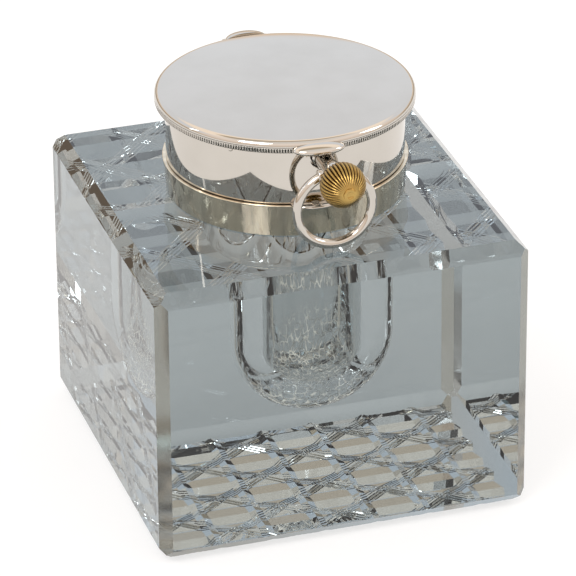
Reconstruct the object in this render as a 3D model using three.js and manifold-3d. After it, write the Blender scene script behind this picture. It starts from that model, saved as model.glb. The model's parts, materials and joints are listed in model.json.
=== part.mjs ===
import * as THREE from "three";
import { mergeVertices } from "three/addons/utils/BufferGeometryUtils.js";
import Module from "manifold-3d";

// Square cut glass inkwell with a silver collar and a hinged silver lid that holds a pocket watch.
// Millimetres, +Z up. The origin is the centre of the block's base, and -Y is the front.
// Every piece above the glass is drawn about the upright axis of the neck.

const wasm = await Module();
wasm.setup();

// Glass block
const block_width = 82;
const block_depth = 84.4;
const block_height = 63.5;
const top_chamfer = 2.8;
const corner_chamfer = 2.4;
const base_chamfer = 3.1;
const neck_offset_x = 0.7;
const neck_offset_y = 1.7;
const neck_radius = 24.2;
const neck_rise = 6.6;
const well_radius = 18;
const well_floor_height = 18.5;
const well_floor_rise = 17.5;
const mouth_chamfer = 0.8;

// Clearances, the overrun of every cut, and the distance at which points are one
const rest_gap = 0.1;
const swing_gap = 0.3;
const bore_gap = 0.06;
const pivot_gap = 0.12;
const mesh_gap = 0.06;
const overrun = 2;
const weld_distance = 0.0001;

// Collar, and the cement that holds it on the neck
const cement_thickness = 0.5;
const collar_wall = 0.7;
const collar_flare = 0.6;
const collar_lip_thickness = 0.65;
const bead_reach = 0.2;
const bead_corner = 0.15;
const seal_margin = 1.4;
const seal_wall = 0.7;
const seal_lift = 0.15;

// Lid drum and its floor
const seam_gap = 0.2;
const seam_set_back = 0.5;
const drum_wall = 0.7;
const floor_thickness = 0.6;
const floor_rise = 3;
const floor_slope = 2.8;
const lid_thumb_half_width = 5.5;
const lid_thumb_reach = 3;
const lid_thumb_half_height = 1;
const thumb_turn_deg = -3;

// Cover
const cover_overhang = 2.2;
const cover_gap = 0.2;
const rim_height = 1.3;
const rim_width = 2.7;
const cover_sheet = 0.6;
const shoulder_reach = 1.3;
const shoulder_rise = 1.25;
const cover_dome = 1.35;
const cover_thumb_half_width = 5.65;
const cover_thumb_reach = 2.8;
const cover_thumb_half_height = 1.3;
const cover_thumb_lift = 0.9;
const nib_radius = 0.5;
const nib_height = 0.9;
const nib_turn_deg = -43;

// Hinges
const lid_knuckle_radius = 1.2;
const lid_knuckle_length = 4.2;
const lid_pin_radius = 0.55;
const lid_leaf_height = 4.4;
const lid_knuckle_gap = 0.4;
const cover_knuckle_radius = 1;
const cover_knuckle_length = 3.2;
const cover_pin_radius = 0.45;
const cover_knuckle_rise = 0.45;
const leaf_thickness = 1;
const lug_half_width = 4.6;
const lug_reach = 3.3;
const lug_rise = 1.25;

// Watch case
const case_side_gap = 0.5;
const case_wall = 1.9;
const band_height = 5.3;
const back_side_width = 3.6;
const back_sheet = 0.5;
const bezel_height = 1.25;
const bezel_foot = 0.45;
const bezel_width = 3.1;
const crystal_edge = 0.6;
const crystal_dome = 1.3;

// Pendant, stem and crown
const pendant_rise = 10.15;
const pendant_radius = 2.3;
const pendant_waist = 1.9;
const pendant_bore = 1.1;
const pendant_waist_length = 5.6;
const pendant_end_chamfer = 0.3;
const slot_gap = 0.35;
const stem_radius = 0.7;
const stem_groove_radius = 0.45;
const stem_groove_width = 0.9;
const stem_pull = 1;
const stem_grip = 4;
const winding_pinion_radius = 1.4;
const winding_pinion_length = 1.6;
const winding_pinion_reach = 15.5;
const crown_radius = 4.83;
const crown_length = 8.75;
const crown_flute_depth = 0.28;
const crown_boss_radius = 1.15;
const crown_boss_height = 0.25;

// Bow
const bow_reach = 8.1;
const bow_ring_radius = 8.2;
const bow_wire_radius = 1.05;
const bow_floor_gap = 0.6;
const bow_eye_radius = 1.35;
const bow_eye_width = 1.1;
const bow_pivot_radius = 0.5;
const bow_pivot_depth = 0.9;

// Dial, plates and pillars
const dial_recess = 0.5;
const dial_thickness = 0.5;
const dial_space = 1;
const plate_side_gap = 0.4;
const plate_thickness = 0.9;
const top_plate_inset = 0.8;
const pillar_radius = 1.1;
const pillar_inset = 3;
const balance_room_gap = 0.6;

// Train
const wheel_thickness = 0.3;
const wheel_rim = 0.9;
const spoke_width = 0.8;
const tooth_depth = 0.3;
const pivot_radius = 0.3;
const level_gap = 0.15;
const centre_wheel_radius = 7.15;
const centre_pinion_radius = 1.2;
const centre_arbor_radius = 0.5;
const third_wheel_radius = 5.6;
const third_pinion_radius = 0.9;
const fourth_wheel_radius = 5;
const fourth_pinion_radius = 0.75;
const fourth_reach = 10.5;
const escape_wheel_radius = 2.9;
const escape_pinion_radius = 0.5;
const escape_turn_deg = 199;

// Barrel and winding wheels
const barrel_radius = 8.3;
const barrel_height = 1.15;
const barrel_wall = 0.45;
const barrel_floor = 0.2;
const barrel_arbor_radius = 1.1;
const barrel_turn_deg = -30;
const crown_wheel_radius = 4.4;
const setting_lever_length = 3.4;
const setting_lever_width = 1.6;
const setting_lever_thickness = 0.6;
const setting_pin_radius = 0.3;

// Escapement
const pallet_pivot_reach = 1.2;
const pallet_arm_width = 0.6;
const pallet_half_span = 1.9;
const pallet_fork_gap = 0.9;
const balance_radius = 5.7;
const balance_rim = 0.7;
const balance_height = 0.6;
const balance_staff_radius = 0.45;
const balance_pivot_radius = 0.2;
const balance_reach = 12.3;
const balance_turn_deg = 182;
const hairspring_radius = 3.2;
const hairspring_blade = 0.12;
const hairspring_height = 0.16;
const mainspring_blade = 0.2;
const cock_thickness = 0.6;
const cock_half_width = 2.4;
const cock_nose_half_width = 1.5;
const cock_foot = 3.2;
const cock_turn_deg = 12;
const cock_screw_radius = 0.4;
const cock_screw_head_radius = 0.9;
const cock_screw_head_height = 0.5;

// Motion work and hands
const cannon_radius = 1.2;
const cannon_wall = 0.3;
const motion_wheel_thickness = 0.2;
const minute_wheel_radius = 3.4;
const minute_pinion_radius = 0.9;
const minute_wheel_turn_deg = 200;
const hour_pipe_wall = 0.3;
const hour_hand_length = 10.8;
const minute_hand_length = 17.2;
const seconds_hand_length = 4.4;
const hand_thickness = 0.15;
const hour_hand_width = 1.1;
const minute_hand_width = 0.8;
const seconds_hand_width = 0.3;
const hand_hub_width = 0.7;
const hour_hand_turn_deg = 305;
const minute_hand_turn_deg = 60;
const seconds_hand_turn_deg = 150;

// Counts
const large_facets = 52;
const medium_facets = 32;
const small_facets = 16;
const tiny_facets = 8;
const arc_steps = 5;
const well_steps = 6;
const shoulder_steps = 4;
const crystal_steps = 3;
const crown_flutes = 36;
const crown_rings = 4;
const bow_steps = 30;
const bow_sides = 8;
const spring_turns = 4;
const spring_steps_per_turn = 10;
const spoke_window_steps = 3;
const centre_teeth = 40;
const third_teeth = 36;
const fourth_teeth = 40;
const escape_teeth = 15;
const ratchet_teeth = 36;
const crown_wheel_teeth = 27;
const motion_teeth = 30;
const centre_spokes = 5;
const train_spokes = 4;
const pillar_turns_deg = [55, 128, 232, 308];

// Shares of the sizes that they follow
const hand_neck_share = 0.74;
const hand_shoulder_share = 0.82;
const back_bulge_share = 0.1;
const back_upper_share = 0.8;
const dome_mid_share = 0.5;
const knuckle_overlap_share = 0.5;

// Radii that follow
const mouth_radius = well_radius + mouth_chamfer;
const seal_radius = mouth_radius + seal_margin;
const collar_bore = neck_radius + cement_thickness + rest_gap * 2;
const collar_base_radius = collar_bore + collar_wall;
const collar_top_radius = collar_base_radius + collar_flare;
const bead_radius = collar_top_radius + bead_reach;
const drum_radius = collar_top_radius - seam_set_back;
const drum_bore = drum_radius - drum_wall;
const cover_radius = drum_radius + cover_overhang;
const case_radius = drum_bore - case_side_gap;
const case_bore = case_radius - case_wall;
const bezel_bore = case_radius - bezel_width;
const plate_radius = case_bore - plate_side_gap;
const top_plate_radius = plate_radius - top_plate_inset;
const bow_plane = drum_radius + bow_reach;
const bow_eye_near = pendant_radius + swing_gap;
const pendant_reach = bow_plane + bow_eye_radius;
const crown_start = pendant_reach + swing_gap;
const setting_pin_reach = winding_pinion_reach + winding_pinion_length + setting_lever_width;
const cannon_pipe_radius = centre_arbor_radius + bore_gap + cannon_wall;
const hour_pipe_bore = cannon_pipe_radius + rest_gap;
const hour_pipe_radius = hour_pipe_bore + hour_pipe_wall;

// Heights that follow
const collar_z = block_height + rest_gap;
const neck_top = block_height + neck_rise;
const lip_z = neck_top + rest_gap * 2;
const seam_z = lip_z + collar_lip_thickness;
const drum_z = seam_z + seam_gap;
const pendant_z = drum_z + pendant_rise;
const drum_top = pendant_z + pendant_radius;
const rim_z = drum_top + cover_gap;
const sheet_z = rim_z + rim_height + rest_gap;
const floor_top = drum_z + floor_rise + floor_thickness;
const bow_drop = pendant_z - block_height - bow_floor_gap - bow_wire_radius - bow_ring_radius;
const band_z = pendant_z - band_height / 2;
const band_top = band_z + band_height;
const dial_top = band_top - dial_recess;
const dial_z = dial_top - dial_thickness;
const pillar_plate_z = dial_z - dial_space - plate_thickness;
const pillar_plate_top = pillar_plate_z + plate_thickness;
const high_wheel_z = pillar_plate_z - level_gap * 2 - wheel_thickness;
const mid_wheel_z = high_wheel_z - level_gap * 2 - wheel_thickness;
const barrel_z = mid_wheel_z - level_gap - barrel_height;
const train_z = barrel_z - level_gap;
const low_wheel_z = train_z + level_gap * 2;
const top_plate_z = train_z - plate_thickness;
const hairspring_z = top_plate_z - rest_gap - hairspring_height;
const cock_z = hairspring_z - rest_gap - cock_thickness;
const motion_z = pillar_plate_top + rest_gap;
const hour_wheel_z = motion_z + motion_wheel_thickness + level_gap;
const seconds_hand_z = dial_top + rest_gap;
const hour_hand_z = seconds_hand_z + hand_thickness + rest_gap;
const minute_hand_z = hour_hand_z + hand_thickness + rest_gap;

// Hinge axes, behind the seam and behind the cover's rim
const lid_axis_y = bead_radius + lid_knuckle_gap + lid_knuckle_radius;
const lid_axis_z = drum_z - seam_gap / 2;
const cover_axis_y = cover_radius + swing_gap + cover_knuckle_radius;
const cover_axis_z = rim_z + cover_knuckle_rise;

const DEG = Math.PI / 180;

// Finishes
function finish(color, roughness, metalness) {
  return new THREE.MeshStandardMaterial({ color, roughness, metalness });
}
const glass = finish(0xb9c7ca, 0.03, 0);
glass.transparent = true;
glass.opacity = 0.45;
const plaster = finish(0xd9d4c8, 0.9, 0);
const silver = finish(0xe0dad4, 0.12, 1);
const gilt = finish(0xb98d3c, 0.28, 1);
const brass = finish(0xc9a552, 0.3, 1);
const steel = finish(0x8f9499, 0.3, 1);
const blued_steel = finish(0x1c2a4a, 0.25, 1);
const enamel = finish(0xf3f0e8, 0.2, 0);
const crystal_glass = finish(0xe8eeee, 0.02, 0);

// A closed geometry as a solid that can be cut and joined
function solid(geometry) {
  const bare = geometry.index ? geometry.toNonIndexed() : geometry.clone();
  bare.deleteAttribute("normal");
  bare.deleteAttribute("uv");
  const merged = mergeVertices(bare, weld_distance);
  return new wasm.Manifold(
    new wasm.Mesh({
      numProp: 3,
      vertProperties: new Float32Array(merged.attributes.position.array),
      triVerts: new Uint32Array(merged.index.array),
    }),
  );
}

function geometryOf(piece) {
  const mesh = piece.getMesh();
  const geometry = new THREE.BufferGeometry();
  geometry.setAttribute("position", new THREE.BufferAttribute(new Float32Array(mesh.vertProperties), 3));
  geometry.setIndex(new THREE.BufferAttribute(new Uint32Array(mesh.triVerts), 1));
  geometry.computeVertexNormals();
  return geometry;
}

function at([x, y], piece) {
  return piece.translate([x, y, 0]);
}

// Round shapes about the upright axis: a profile is a list of [radius, height]
function lathe(profile, facets) {
  const points = profile.map(([r, z]) => new THREE.Vector2(r, z));
  return solid(new THREE.LatheGeometry(points, facets).rotateX(Math.PI / 2));
}

function disc(radius, z, height, facets) {
  return lathe([[0, z], [radius, z], [radius, z + height], [0, z + height]], facets);
}

function ring(outer, inner, z, height, facets) {
  const top = z + height;
  return lathe([[inner, z], [outer, z], [outer, top], [inner, top], [inner, z]], facets);
}

// A hole through a plate whose underside is at z
function hole(radius, z, height, facets) {
  return disc(radius, z - overrun, height + overrun * 2, facets);
}

// Round shapes that lie along -Y at the pendant's height: a profile is a list of [radius, reach]
function latheForward(profile, facets) {
  const points = profile.map(([r, reach]) => new THREE.Vector2(r, reach));
  return solid(new THREE.LatheGeometry(points, facets).rotateX(Math.PI).translate(0, 0, pendant_z));
}

function rodForward(radius, from, to, facets) {
  return latheForward([[0, from], [radius, from], [radius, to], [0, to]], facets);
}

function rodAcross(radius, x0, x1, y, z, facets) {
  const geometry = new THREE.CylinderGeometry(radius, radius, x1 - x0, facets).rotateZ(Math.PI / 2);
  return solid(geometry.translate((x0 + x1) / 2, y, z));
}

function box(x0, x1, y0, y1, z0, z1) {
  const geometry = new THREE.BoxGeometry(x1 - x0, y1 - y0, z1 - z0);
  return solid(geometry.translate((x0 + x1) / 2, (y0 + y1) / 2, (z0 + z1) / 2));
}

function outline(points) {
  return new THREE.Shape(points.map(([x, y]) => new THREE.Vector2(x, y)));
}

function slab(shape, z, height) {
  const options = { depth: height, bevelEnabled: false, curveSegments: arc_steps };
  return solid(new THREE.ExtrudeGeometry(shape, options).translate(0, 0, z));
}

function oval(half_width, half_reach, half_height) {
  const ball = new THREE.SphereGeometry(1, small_facets, small_facets / 2).rotateX(Math.PI / 2);
  return solid(ball.scale(half_width, half_reach, half_height));
}

// The assembly, and the group that stands on the neck's axis
const inkwell = new THREE.Group();
const neck = new THREE.Group();
neck.position.set(neck_offset_x, neck_offset_y, 0);
inkwell.add(neck);

function add(group, name, piece, material) {
  const mesh = new THREE.Mesh(geometryOf(piece), material.clone());
  mesh.name = name;
  group.add(mesh);
}

// Glass block: the three side views with cut corners, crossed, with a neck and a bored well
function cutCornerOutline(width, height, low, high) {
  const half = width / 2;
  return outline([
    [-half + low, 0],
    [half - low, 0],
    [half, low],
    [half, height - high],
    [half - high, height],
    [-half + high, height],
    [-half, height - high],
    [-half, low],
  ]);
}

function glassBlock() {
  const plan_outline = cutCornerOutline(block_width, block_depth, corner_chamfer, corner_chamfer);
  const plan = slab(plan_outline, 0, block_height).translate([0, -block_depth / 2, 0]);
  const front = slab(cutCornerOutline(block_width, block_height, base_chamfer, top_chamfer), 0, block_depth)
    .rotate([90, 0, 0])
    .translate([0, block_depth / 2, 0]);
  const side = slab(cutCornerOutline(block_depth, block_height, base_chamfer, top_chamfer), 0, block_width)
    .rotate([90, 0, 90])
    .translate([-block_width / 2, 0, 0]);
  const neck_place = [neck_offset_x, neck_offset_y];
  const neck_post = disc(neck_radius, block_height - overrun, neck_rise + overrun, medium_facets);
  return plan
    .intersect(front)
    .intersect(side)
    .add(at(neck_place, neck_post))
    .subtract(at(neck_place, well()));
}

// The well: a straight bore with a rounded floor and a chamfered mouth
function well() {
  const profile = [];
  for (let i = 0; i <= well_steps; i++) {
    const angle = ((i / well_steps) * Math.PI) / 2;
    const rise = well_floor_rise * (1 - Math.cos(angle));
    profile.push([well_radius * Math.sin(angle), well_floor_height + rise]);
  }
  profile.push([well_radius, neck_top - mouth_chamfer]);
  profile.push([mouth_radius, neck_top]);
  profile.push([mouth_radius, neck_top + overrun]);
  profile.push([0, neck_top + overrun]);
  return lathe(profile, medium_facets);
}

// Collar: a flared band with a bead at its top and a lip turned in over the glass
function collar() {
  const lip_bore = seal_radius + swing_gap;
  return lathe(
    [
      [collar_bore, collar_z],
      [collar_base_radius, collar_z],
      [collar_top_radius, lip_z],
      [bead_radius, lip_z + bead_corner],
      [bead_radius, seam_z - bead_corner],
      [collar_top_radius, seam_z],
      [lip_bore, seam_z],
      [lip_bore, lip_z],
      [collar_bore, lip_z],
      [collar_bore, collar_z],
    ],
    large_facets,
  );
}

function collarCement() {
  const foot = collar_z + rest_gap;
  return ring(collar_bore - rest_gap, neck_radius + rest_gap, foot, neck_top - foot, medium_facets);
}

// Hinges: a knuckle is a bored barrel with a leaf that reaches to the wall that carries it
function knuckle(radius, pin, [x0, x1], axis_y, axis_z, leaf) {
  const barrel = rodAcross(radius, x0, x1, axis_y, axis_z, small_facets);
  const bore = rodAcross(pin + bore_gap, x0 - overrun, x1 + overrun, axis_y, axis_z, small_facets);
  return barrel.add(leaf).subtract(bore);
}

function outerSpan(length, side) {
  const near = length / 2 + rest_gap;
  return side < 0 ? [-near - length, -near] : [near, near + length];
}

function innerSpan(length) {
  const half = length / 2 - rest_gap;
  return [-half, half];
}

function collarKnuckle(side) {
  const span = outerSpan(lid_knuckle_length, side);
  const leaf_top = lid_axis_z - lid_knuckle_radius * knuckle_overlap_share;
  const leaf_back = lid_axis_y - lid_knuckle_radius + leaf_thickness;
  const leaf = box(...span, collar_bore, leaf_back, lid_axis_z - lid_leaf_height, leaf_top)
    .subtract(disc(collar_top_radius + rest_gap, 0, lip_z, large_facets))
    .subtract(disc(bead_radius + rest_gap, lip_z - rest_gap, collar_lip_thickness + overrun, large_facets));
  return knuckle(lid_knuckle_radius, lid_pin_radius, span, lid_axis_y, lid_axis_z, leaf);
}

function lidKnuckle() {
  const span = innerSpan(lid_knuckle_length);
  const leaf_foot = lid_axis_z + lid_knuckle_radius * knuckle_overlap_share;
  const leaf_back = lid_axis_y - lid_knuckle_radius + leaf_thickness;
  const leaf = box(...span, drum_bore, leaf_back, leaf_foot, lid_axis_z + lid_leaf_height)
    .subtract(disc(drum_radius + rest_gap, 0, drum_top, large_facets));
  return knuckle(lid_knuckle_radius, lid_pin_radius, span, lid_axis_y, lid_axis_z, leaf);
}

function drumCoverKnuckle(side) {
  const span = outerSpan(cover_knuckle_length, side);
  const leaf = box(...span, drum_bore, cover_axis_y, drum_top - leaf_thickness, drum_top)
    .subtract(disc(drum_radius + rest_gap, 0, drum_top + overrun, large_facets));
  return knuckle(cover_knuckle_radius, cover_pin_radius, span, cover_axis_y, cover_axis_z, leaf);
}

function coverKnuckle() {
  const span = innerSpan(cover_knuckle_length);
  const leaf = box(...span, drum_radius, cover_axis_y, rim_z, rim_z + leaf_thickness)
    .subtract(disc(cover_radius + rest_gap, 0, sheet_z, large_facets));
  return knuckle(cover_knuckle_radius, cover_pin_radius, span, cover_axis_y, cover_axis_z, leaf);
}

function hingePin(radius, length, axis_y, axis_z) {
  const half = length / 2 + length + rest_gap;
  return rodAcross(radius, -half, half, axis_y, axis_z, small_facets);
}

// Drum of the lid: a plain wall with a slot at the front for the watch's pendant
function lidDrum() {
  const half = pendant_radius + slot_gap;
  const near = drum_bore - overrun;
  const far = drum_radius + overrun;
  const slot = rodForward(half, near, far, small_facets)
    .add(box(-half, half, -far, -near, pendant_z, drum_top + overrun));
  return ring(drum_radius, drum_bore, drum_z, drum_top - drum_z, large_facets).subtract(slot);
}

// Floor of the drum: a flat border with a raised middle that carries the watch
function lidFloor() {
  const outer = drum_bore - rest_gap;
  const foot = seal_radius - seal_wall - rest_gap;
  const shelf = foot - floor_slope;
  const step = floor_thickness / 2;
  return lathe(
    [
      [0, drum_z + floor_rise],
      [shelf, drum_z + floor_rise],
      [foot, drum_z],
      [outer, drum_z],
      [outer, drum_z + floor_thickness],
      [foot + step, drum_z + floor_thickness],
      [shelf + step, floor_top],
      [0, floor_top],
    ],
    medium_facets,
  );
}

function wellSealRing() {
  const foot = neck_top + seal_lift;
  return ring(seal_radius, seal_radius - seal_wall, foot, drum_z - rest_gap - foot, medium_facets);
}

// Thumbpieces: ovals that stand out from the round walls
function lidThumbpiece() {
  return oval(lid_thumb_half_width, lid_thumb_reach, lid_thumb_half_height)
    .translate([0, -drum_radius, drum_z])
    .subtract(disc(drum_radius + rest_gap, 0, drum_top, large_facets))
    .subtract(disc(bead_radius + swing_gap, 0, drum_z, large_facets))
    .rotate([0, 0, thumb_turn_deg]);
}

function coverThumbpiece() {
  const z = rim_z + cover_thumb_lift;
  return oval(cover_thumb_half_width, cover_thumb_reach, cover_thumb_half_height)
    .translate([0, -cover_radius, z])
    .subtract(disc(cover_radius + rest_gap, 0, z + cover_thumb_half_height + overrun, large_facets))
    .subtract(disc(cover_radius + cover_thumb_reach + overrun, 0, rim_z, small_facets))
    .rotate([0, 0, thumb_turn_deg]);
}

function coverHingeLug() {
  const z = cover_axis_z + cover_knuckle_radius + rest_gap;
  return oval(lug_half_width, lug_reach, lug_rise)
    .translate([0, cover_radius, z])
    .subtract(disc(cover_radius + rest_gap, 0, z + lug_rise + overrun, large_facets))
    .subtract(disc(cover_radius + lug_reach + overrun, 0, z, small_facets));
}

function coverNib() {
  return disc(nib_radius, rim_z - rest_gap - nib_height, nib_height, tiny_facets)
    .translate([0, -drum_radius - swing_gap - nib_radius, 0])
    .rotate([0, 0, nib_turn_deg]);
}

// Cover: a reeded rim, and a sheet with a rounded shoulder and a shallow dome
function coverRim() {
  return ring(cover_radius, cover_radius - rim_width, rim_z, rim_height, large_facets);
}

function coverPlate() {
  const flat_radius = cover_radius - shoulder_reach;
  const shoulder_z = sheet_z + shoulder_rise;
  const apex_z = shoulder_z + cover_dome;
  const mid_z = apex_z - cover_dome * dome_mid_share * dome_mid_share;
  const profile = [
    [0, apex_z - cover_sheet],
    [flat_radius * dome_mid_share, mid_z - cover_sheet],
    [flat_radius - cover_sheet, shoulder_z - cover_sheet],
    [cover_radius - cover_sheet, sheet_z],
  ];
  for (let i = 0; i <= shoulder_steps; i++) {
    const angle = ((i / shoulder_steps) * Math.PI) / 2;
    const r = cover_radius - shoulder_reach * (1 - Math.cos(angle));
    profile.push([r, sheet_z + shoulder_rise * Math.sin(angle)]);
  }
  profile.push([flat_radius * dome_mid_share, mid_z]);
  profile.push([0, apex_z]);
  return lathe(profile, large_facets);
}

// Watch case
function caseBand() {
  const way = rodForward(pendant_bore, case_bore - overrun, case_radius + overrun, tiny_facets);
  return ring(case_radius, case_bore, band_z, band_height, medium_facets).subtract(way);
}

function caseBack() {
  const foot = floor_top + rest_gap;
  const top = band_z - rest_gap;
  const bulge_z = foot + (top - foot) * back_bulge_share;
  const upper_z = foot + (top - foot) * back_upper_share;
  const flat_radius = case_radius - back_side_width;
  const side_radius = case_radius - back_sheet;
  return lathe(
    [
      [0, foot],
      [flat_radius, bulge_z],
      [side_radius, upper_z],
      [case_radius, top],
      [case_radius - back_sheet * 2, top],
      [side_radius - back_sheet * 2, upper_z],
      [flat_radius - back_sheet, bulge_z + back_sheet],
      [0, foot + back_sheet],
    ],
    medium_facets,
  );
}

function bezel() {
  const z = band_top + rest_gap;
  return lathe(
    [
      [bezel_bore, z],
      [case_radius, z],
      [case_radius, z + bezel_foot],
      [(case_radius + bezel_bore) / 2, z + bezel_height],
      [bezel_bore, z + bezel_height],
      [bezel_bore, z],
    ],
    medium_facets,
  );
}

function crystal() {
  const radius = bezel_bore - rest_gap;
  const foot = band_top + rest_gap + bezel_height - crystal_edge * 2;
  const under = [];
  const over = [];
  for (let i = 0; i <= crystal_steps; i++) {
    const out = i / crystal_steps;
    const rise = crystal_dome * (1 - out * out);
    under.push([radius * out, foot + rise]);
    over.unshift([radius * out, foot + crystal_edge + rise]);
  }
  return lathe(under.concat(over), medium_facets);
}

function dial() {
  const hour_room = hole(hour_pipe_radius + swing_gap, dial_z, dial_thickness, small_facets);
  const seconds_room = hole(pivot_radius + swing_gap, dial_z, dial_thickness, tiny_facets);
  return disc(case_bore - swing_gap, dial_z, dial_thickness, medium_facets)
    .subtract(hour_room)
    .subtract(at(fourth_place, seconds_room));
}

// Pendant: a waisted tube that carries the bow at its end
function pendant() {
  const foot = case_radius + rest_gap;
  const neck_start = drum_radius + rest_gap;
  const neck_end = neck_start + pendant_waist_length;
  const taper = pendant_radius - pendant_waist;
  const tube = latheForward(
    [
      [pendant_bore, foot],
      [pendant_radius, foot],
      [pendant_radius, neck_start],
      [pendant_waist, neck_start + taper],
      [pendant_waist, neck_end - taper],
      [pendant_radius, neck_end],
      [pendant_radius, pendant_reach - pendant_end_chamfer],
      [pendant_radius - pendant_end_chamfer, pendant_reach],
      [pendant_bore, pendant_reach],
      [pendant_bore, foot],
    ],
    small_facets,
  );
  const half = pendant_radius + overrun;
  const pivot_way = rodAcross(bow_pivot_radius + bore_gap, -half, half, -bow_plane, pendant_z, tiny_facets);
  return tube.subtract(pivot_way);
}

// Winding stem: a pinion, a groove for the setting lever's pin, and a long shaft into the crown
function windingStem() {
  const pinion_end = winding_pinion_reach + winding_pinion_length;
  const groove = setting_pin_reach - stem_groove_width / 2;
  const tip = crown_start + stem_grip - rest_gap;
  return latheForward(
    [
      [0, winding_pinion_reach],
      [winding_pinion_radius, winding_pinion_reach],
      [winding_pinion_radius, pinion_end],
      [stem_radius, pinion_end],
      [stem_radius, groove],
      [stem_groove_radius, groove],
      [stem_groove_radius, groove + stem_groove_width],
      [stem_radius, groove + stem_groove_width],
      [stem_radius, tip],
      [0, tip],
    ],
    tiny_facets,
  );
}

// Setting lever: a slip with a pin that stands in the stem's groove
function settingLever() {
  const z = train_z + level_gap;
  const y = -setting_pin_reach;
  const half = setting_lever_width / 2;
  const pin_top = pendant_z - stem_groove_radius - rest_gap;
  const slip = box(-setting_lever_length, half, y - half, y + half, z, z + setting_lever_thickness);
  return slip.add(disc(setting_pin_radius, z, pin_top - z, tiny_facets).translate([0, y, 0]));
}

// Crown: a fluted ball with a small boss at its end, bored for the stem
function crown() {
  const centre = crown_start + crown_length - crown_radius;
  const end_angle = Math.asin(crown_boss_radius / crown_radius);
  const start_angle = Math.PI - Math.acos((centre - crown_start) / crown_radius);
  const boss_end = crown_start + crown_length + crown_boss_height;
  const points = [new THREE.Vector2(0, crown_start)];
  for (let i = 0; i <= crown_rings; i++) {
    const angle = start_angle + ((end_angle - start_angle) * i) / crown_rings;
    points.push(new THREE.Vector2(crown_radius * Math.sin(angle), centre + crown_radius * Math.cos(angle)));
  }
  points.push(new THREE.Vector2(crown_boss_radius, boss_end));
  points.push(new THREE.Vector2(0, boss_end));
  const columns = crown_flutes * 2;
  const geometry = new THREE.LatheGeometry(points, columns);
  const position = geometry.getAttribute("position");
  for (let column = 1; column < columns; column += 2) {
    for (let row = 2; row <= crown_rings; row++) {
      const k = column * points.length + row;
      const radius = Math.hypot(position.getX(k), position.getZ(k));
      const kept = (radius - crown_flute_depth) / radius;
      position.setX(k, position.getX(k) * kept);
      position.setZ(k, position.getZ(k) * kept);
    }
  }
  const ball = solid(geometry.rotateX(Math.PI).translate(0, 0, pendant_z));
  const bore_end = crown_start + stem_grip;
  return ball.subtract(rodForward(stem_radius + bore_gap, crown_start - overrun, bore_end, tiny_facets));
}

// Bow: a round wire ring whose ends are sprung into the sides of the pendant
class BowArc extends THREE.Curve {
  getPoint(along, target = new THREE.Vector3()) {
    const gap = Math.asin((bow_eye_near + bow_eye_width / 2) / bow_ring_radius);
    const angle = gap + (Math.PI - gap) * 2 * along;
    return target.set(bow_ring_radius * Math.sin(angle), 0, bow_ring_radius * Math.cos(angle));
  }
}

function bow() {
  const section = [];
  for (let i = 0; i < bow_sides; i++) section.push(polar(bow_wire_radius, (i / bow_sides) * 360));
  const options = { steps: bow_steps, bevelEnabled: false, extrudePath: new BowArc() };
  const wire = solid(new THREE.ExtrudeGeometry(outline(section), options))
    .translate([0, -bow_plane, pendant_z - bow_drop]);
  const far = bow_eye_near + bow_eye_width;
  const tip = pendant_radius - bow_pivot_depth;
  const end = rodAcross(bow_eye_radius, bow_eye_near, far, -bow_plane, pendant_z, small_facets)
    .add(rodAcross(bow_pivot_radius, tip, far, -bow_plane, pendant_z, tiny_facets));
  return wire.add(end).add(end.mirror([1, 0, 0]));
}

// Places of the arbors about the neck's axis
function polar(reach, turn_deg) {
  return [reach * Math.cos(turn_deg * DEG), reach * Math.sin(turn_deg * DEG)];
}

function distance([ax, ay], [bx, by]) {
  return Math.hypot(bx - ax, by - ay);
}

// The place at distance ra from a and rb from b, to the right on the way from a to b
function meeting(a, ra, b, rb) {
  const span = distance(a, b);
  const along = (ra * ra - rb * rb + span * span) / (2 * span);
  const across = Math.sqrt(ra * ra - along * along);
  const ux = (b[0] - a[0]) / span;
  const uy = (b[1] - a[1]) / span;
  return [a[0] + ux * along + uy * across, a[1] + uy * along - ux * across];
}

const centre_place = [0, 0];
const fourth_place = [0, fourth_reach];
const third_place = meeting(
  centre_place,
  centre_wheel_radius + third_pinion_radius + mesh_gap,
  fourth_place,
  third_wheel_radius + fourth_pinion_radius + mesh_gap,
);
const escape_offset = polar(fourth_wheel_radius + escape_pinion_radius + mesh_gap, escape_turn_deg);
const escape_place = [escape_offset[0], fourth_reach + escape_offset[1]];
const barrel_place = polar(barrel_radius + centre_pinion_radius + mesh_gap, barrel_turn_deg);
const crown_wheel_place = [0, -(winding_pinion_reach - rest_gap - crown_wheel_radius)];
const ratchet_radius = distance(crown_wheel_place, barrel_place) - crown_wheel_radius - mesh_gap;
const balance_place = polar(balance_reach, balance_turn_deg);
const lever_run = distance(escape_place, balance_place);
const lever_way = [balance_place[0] - escape_place[0], balance_place[1] - escape_place[1]];
const lever_turn_deg = Math.atan2(lever_way[1], lever_way[0]) / DEG;
const pallet_reach = escape_wheel_radius + pallet_pivot_reach;
const pallet_offset = polar(pallet_reach, lever_turn_deg);
const pallet_place = [escape_place[0] + pallet_offset[0], escape_place[1] + pallet_offset[1]];
const minute_wheel_place = polar(cannon_radius + minute_wheel_radius + mesh_gap, minute_wheel_turn_deg);
const hour_wheel_radius = cannon_radius + minute_wheel_radius - minute_pinion_radius;

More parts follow.
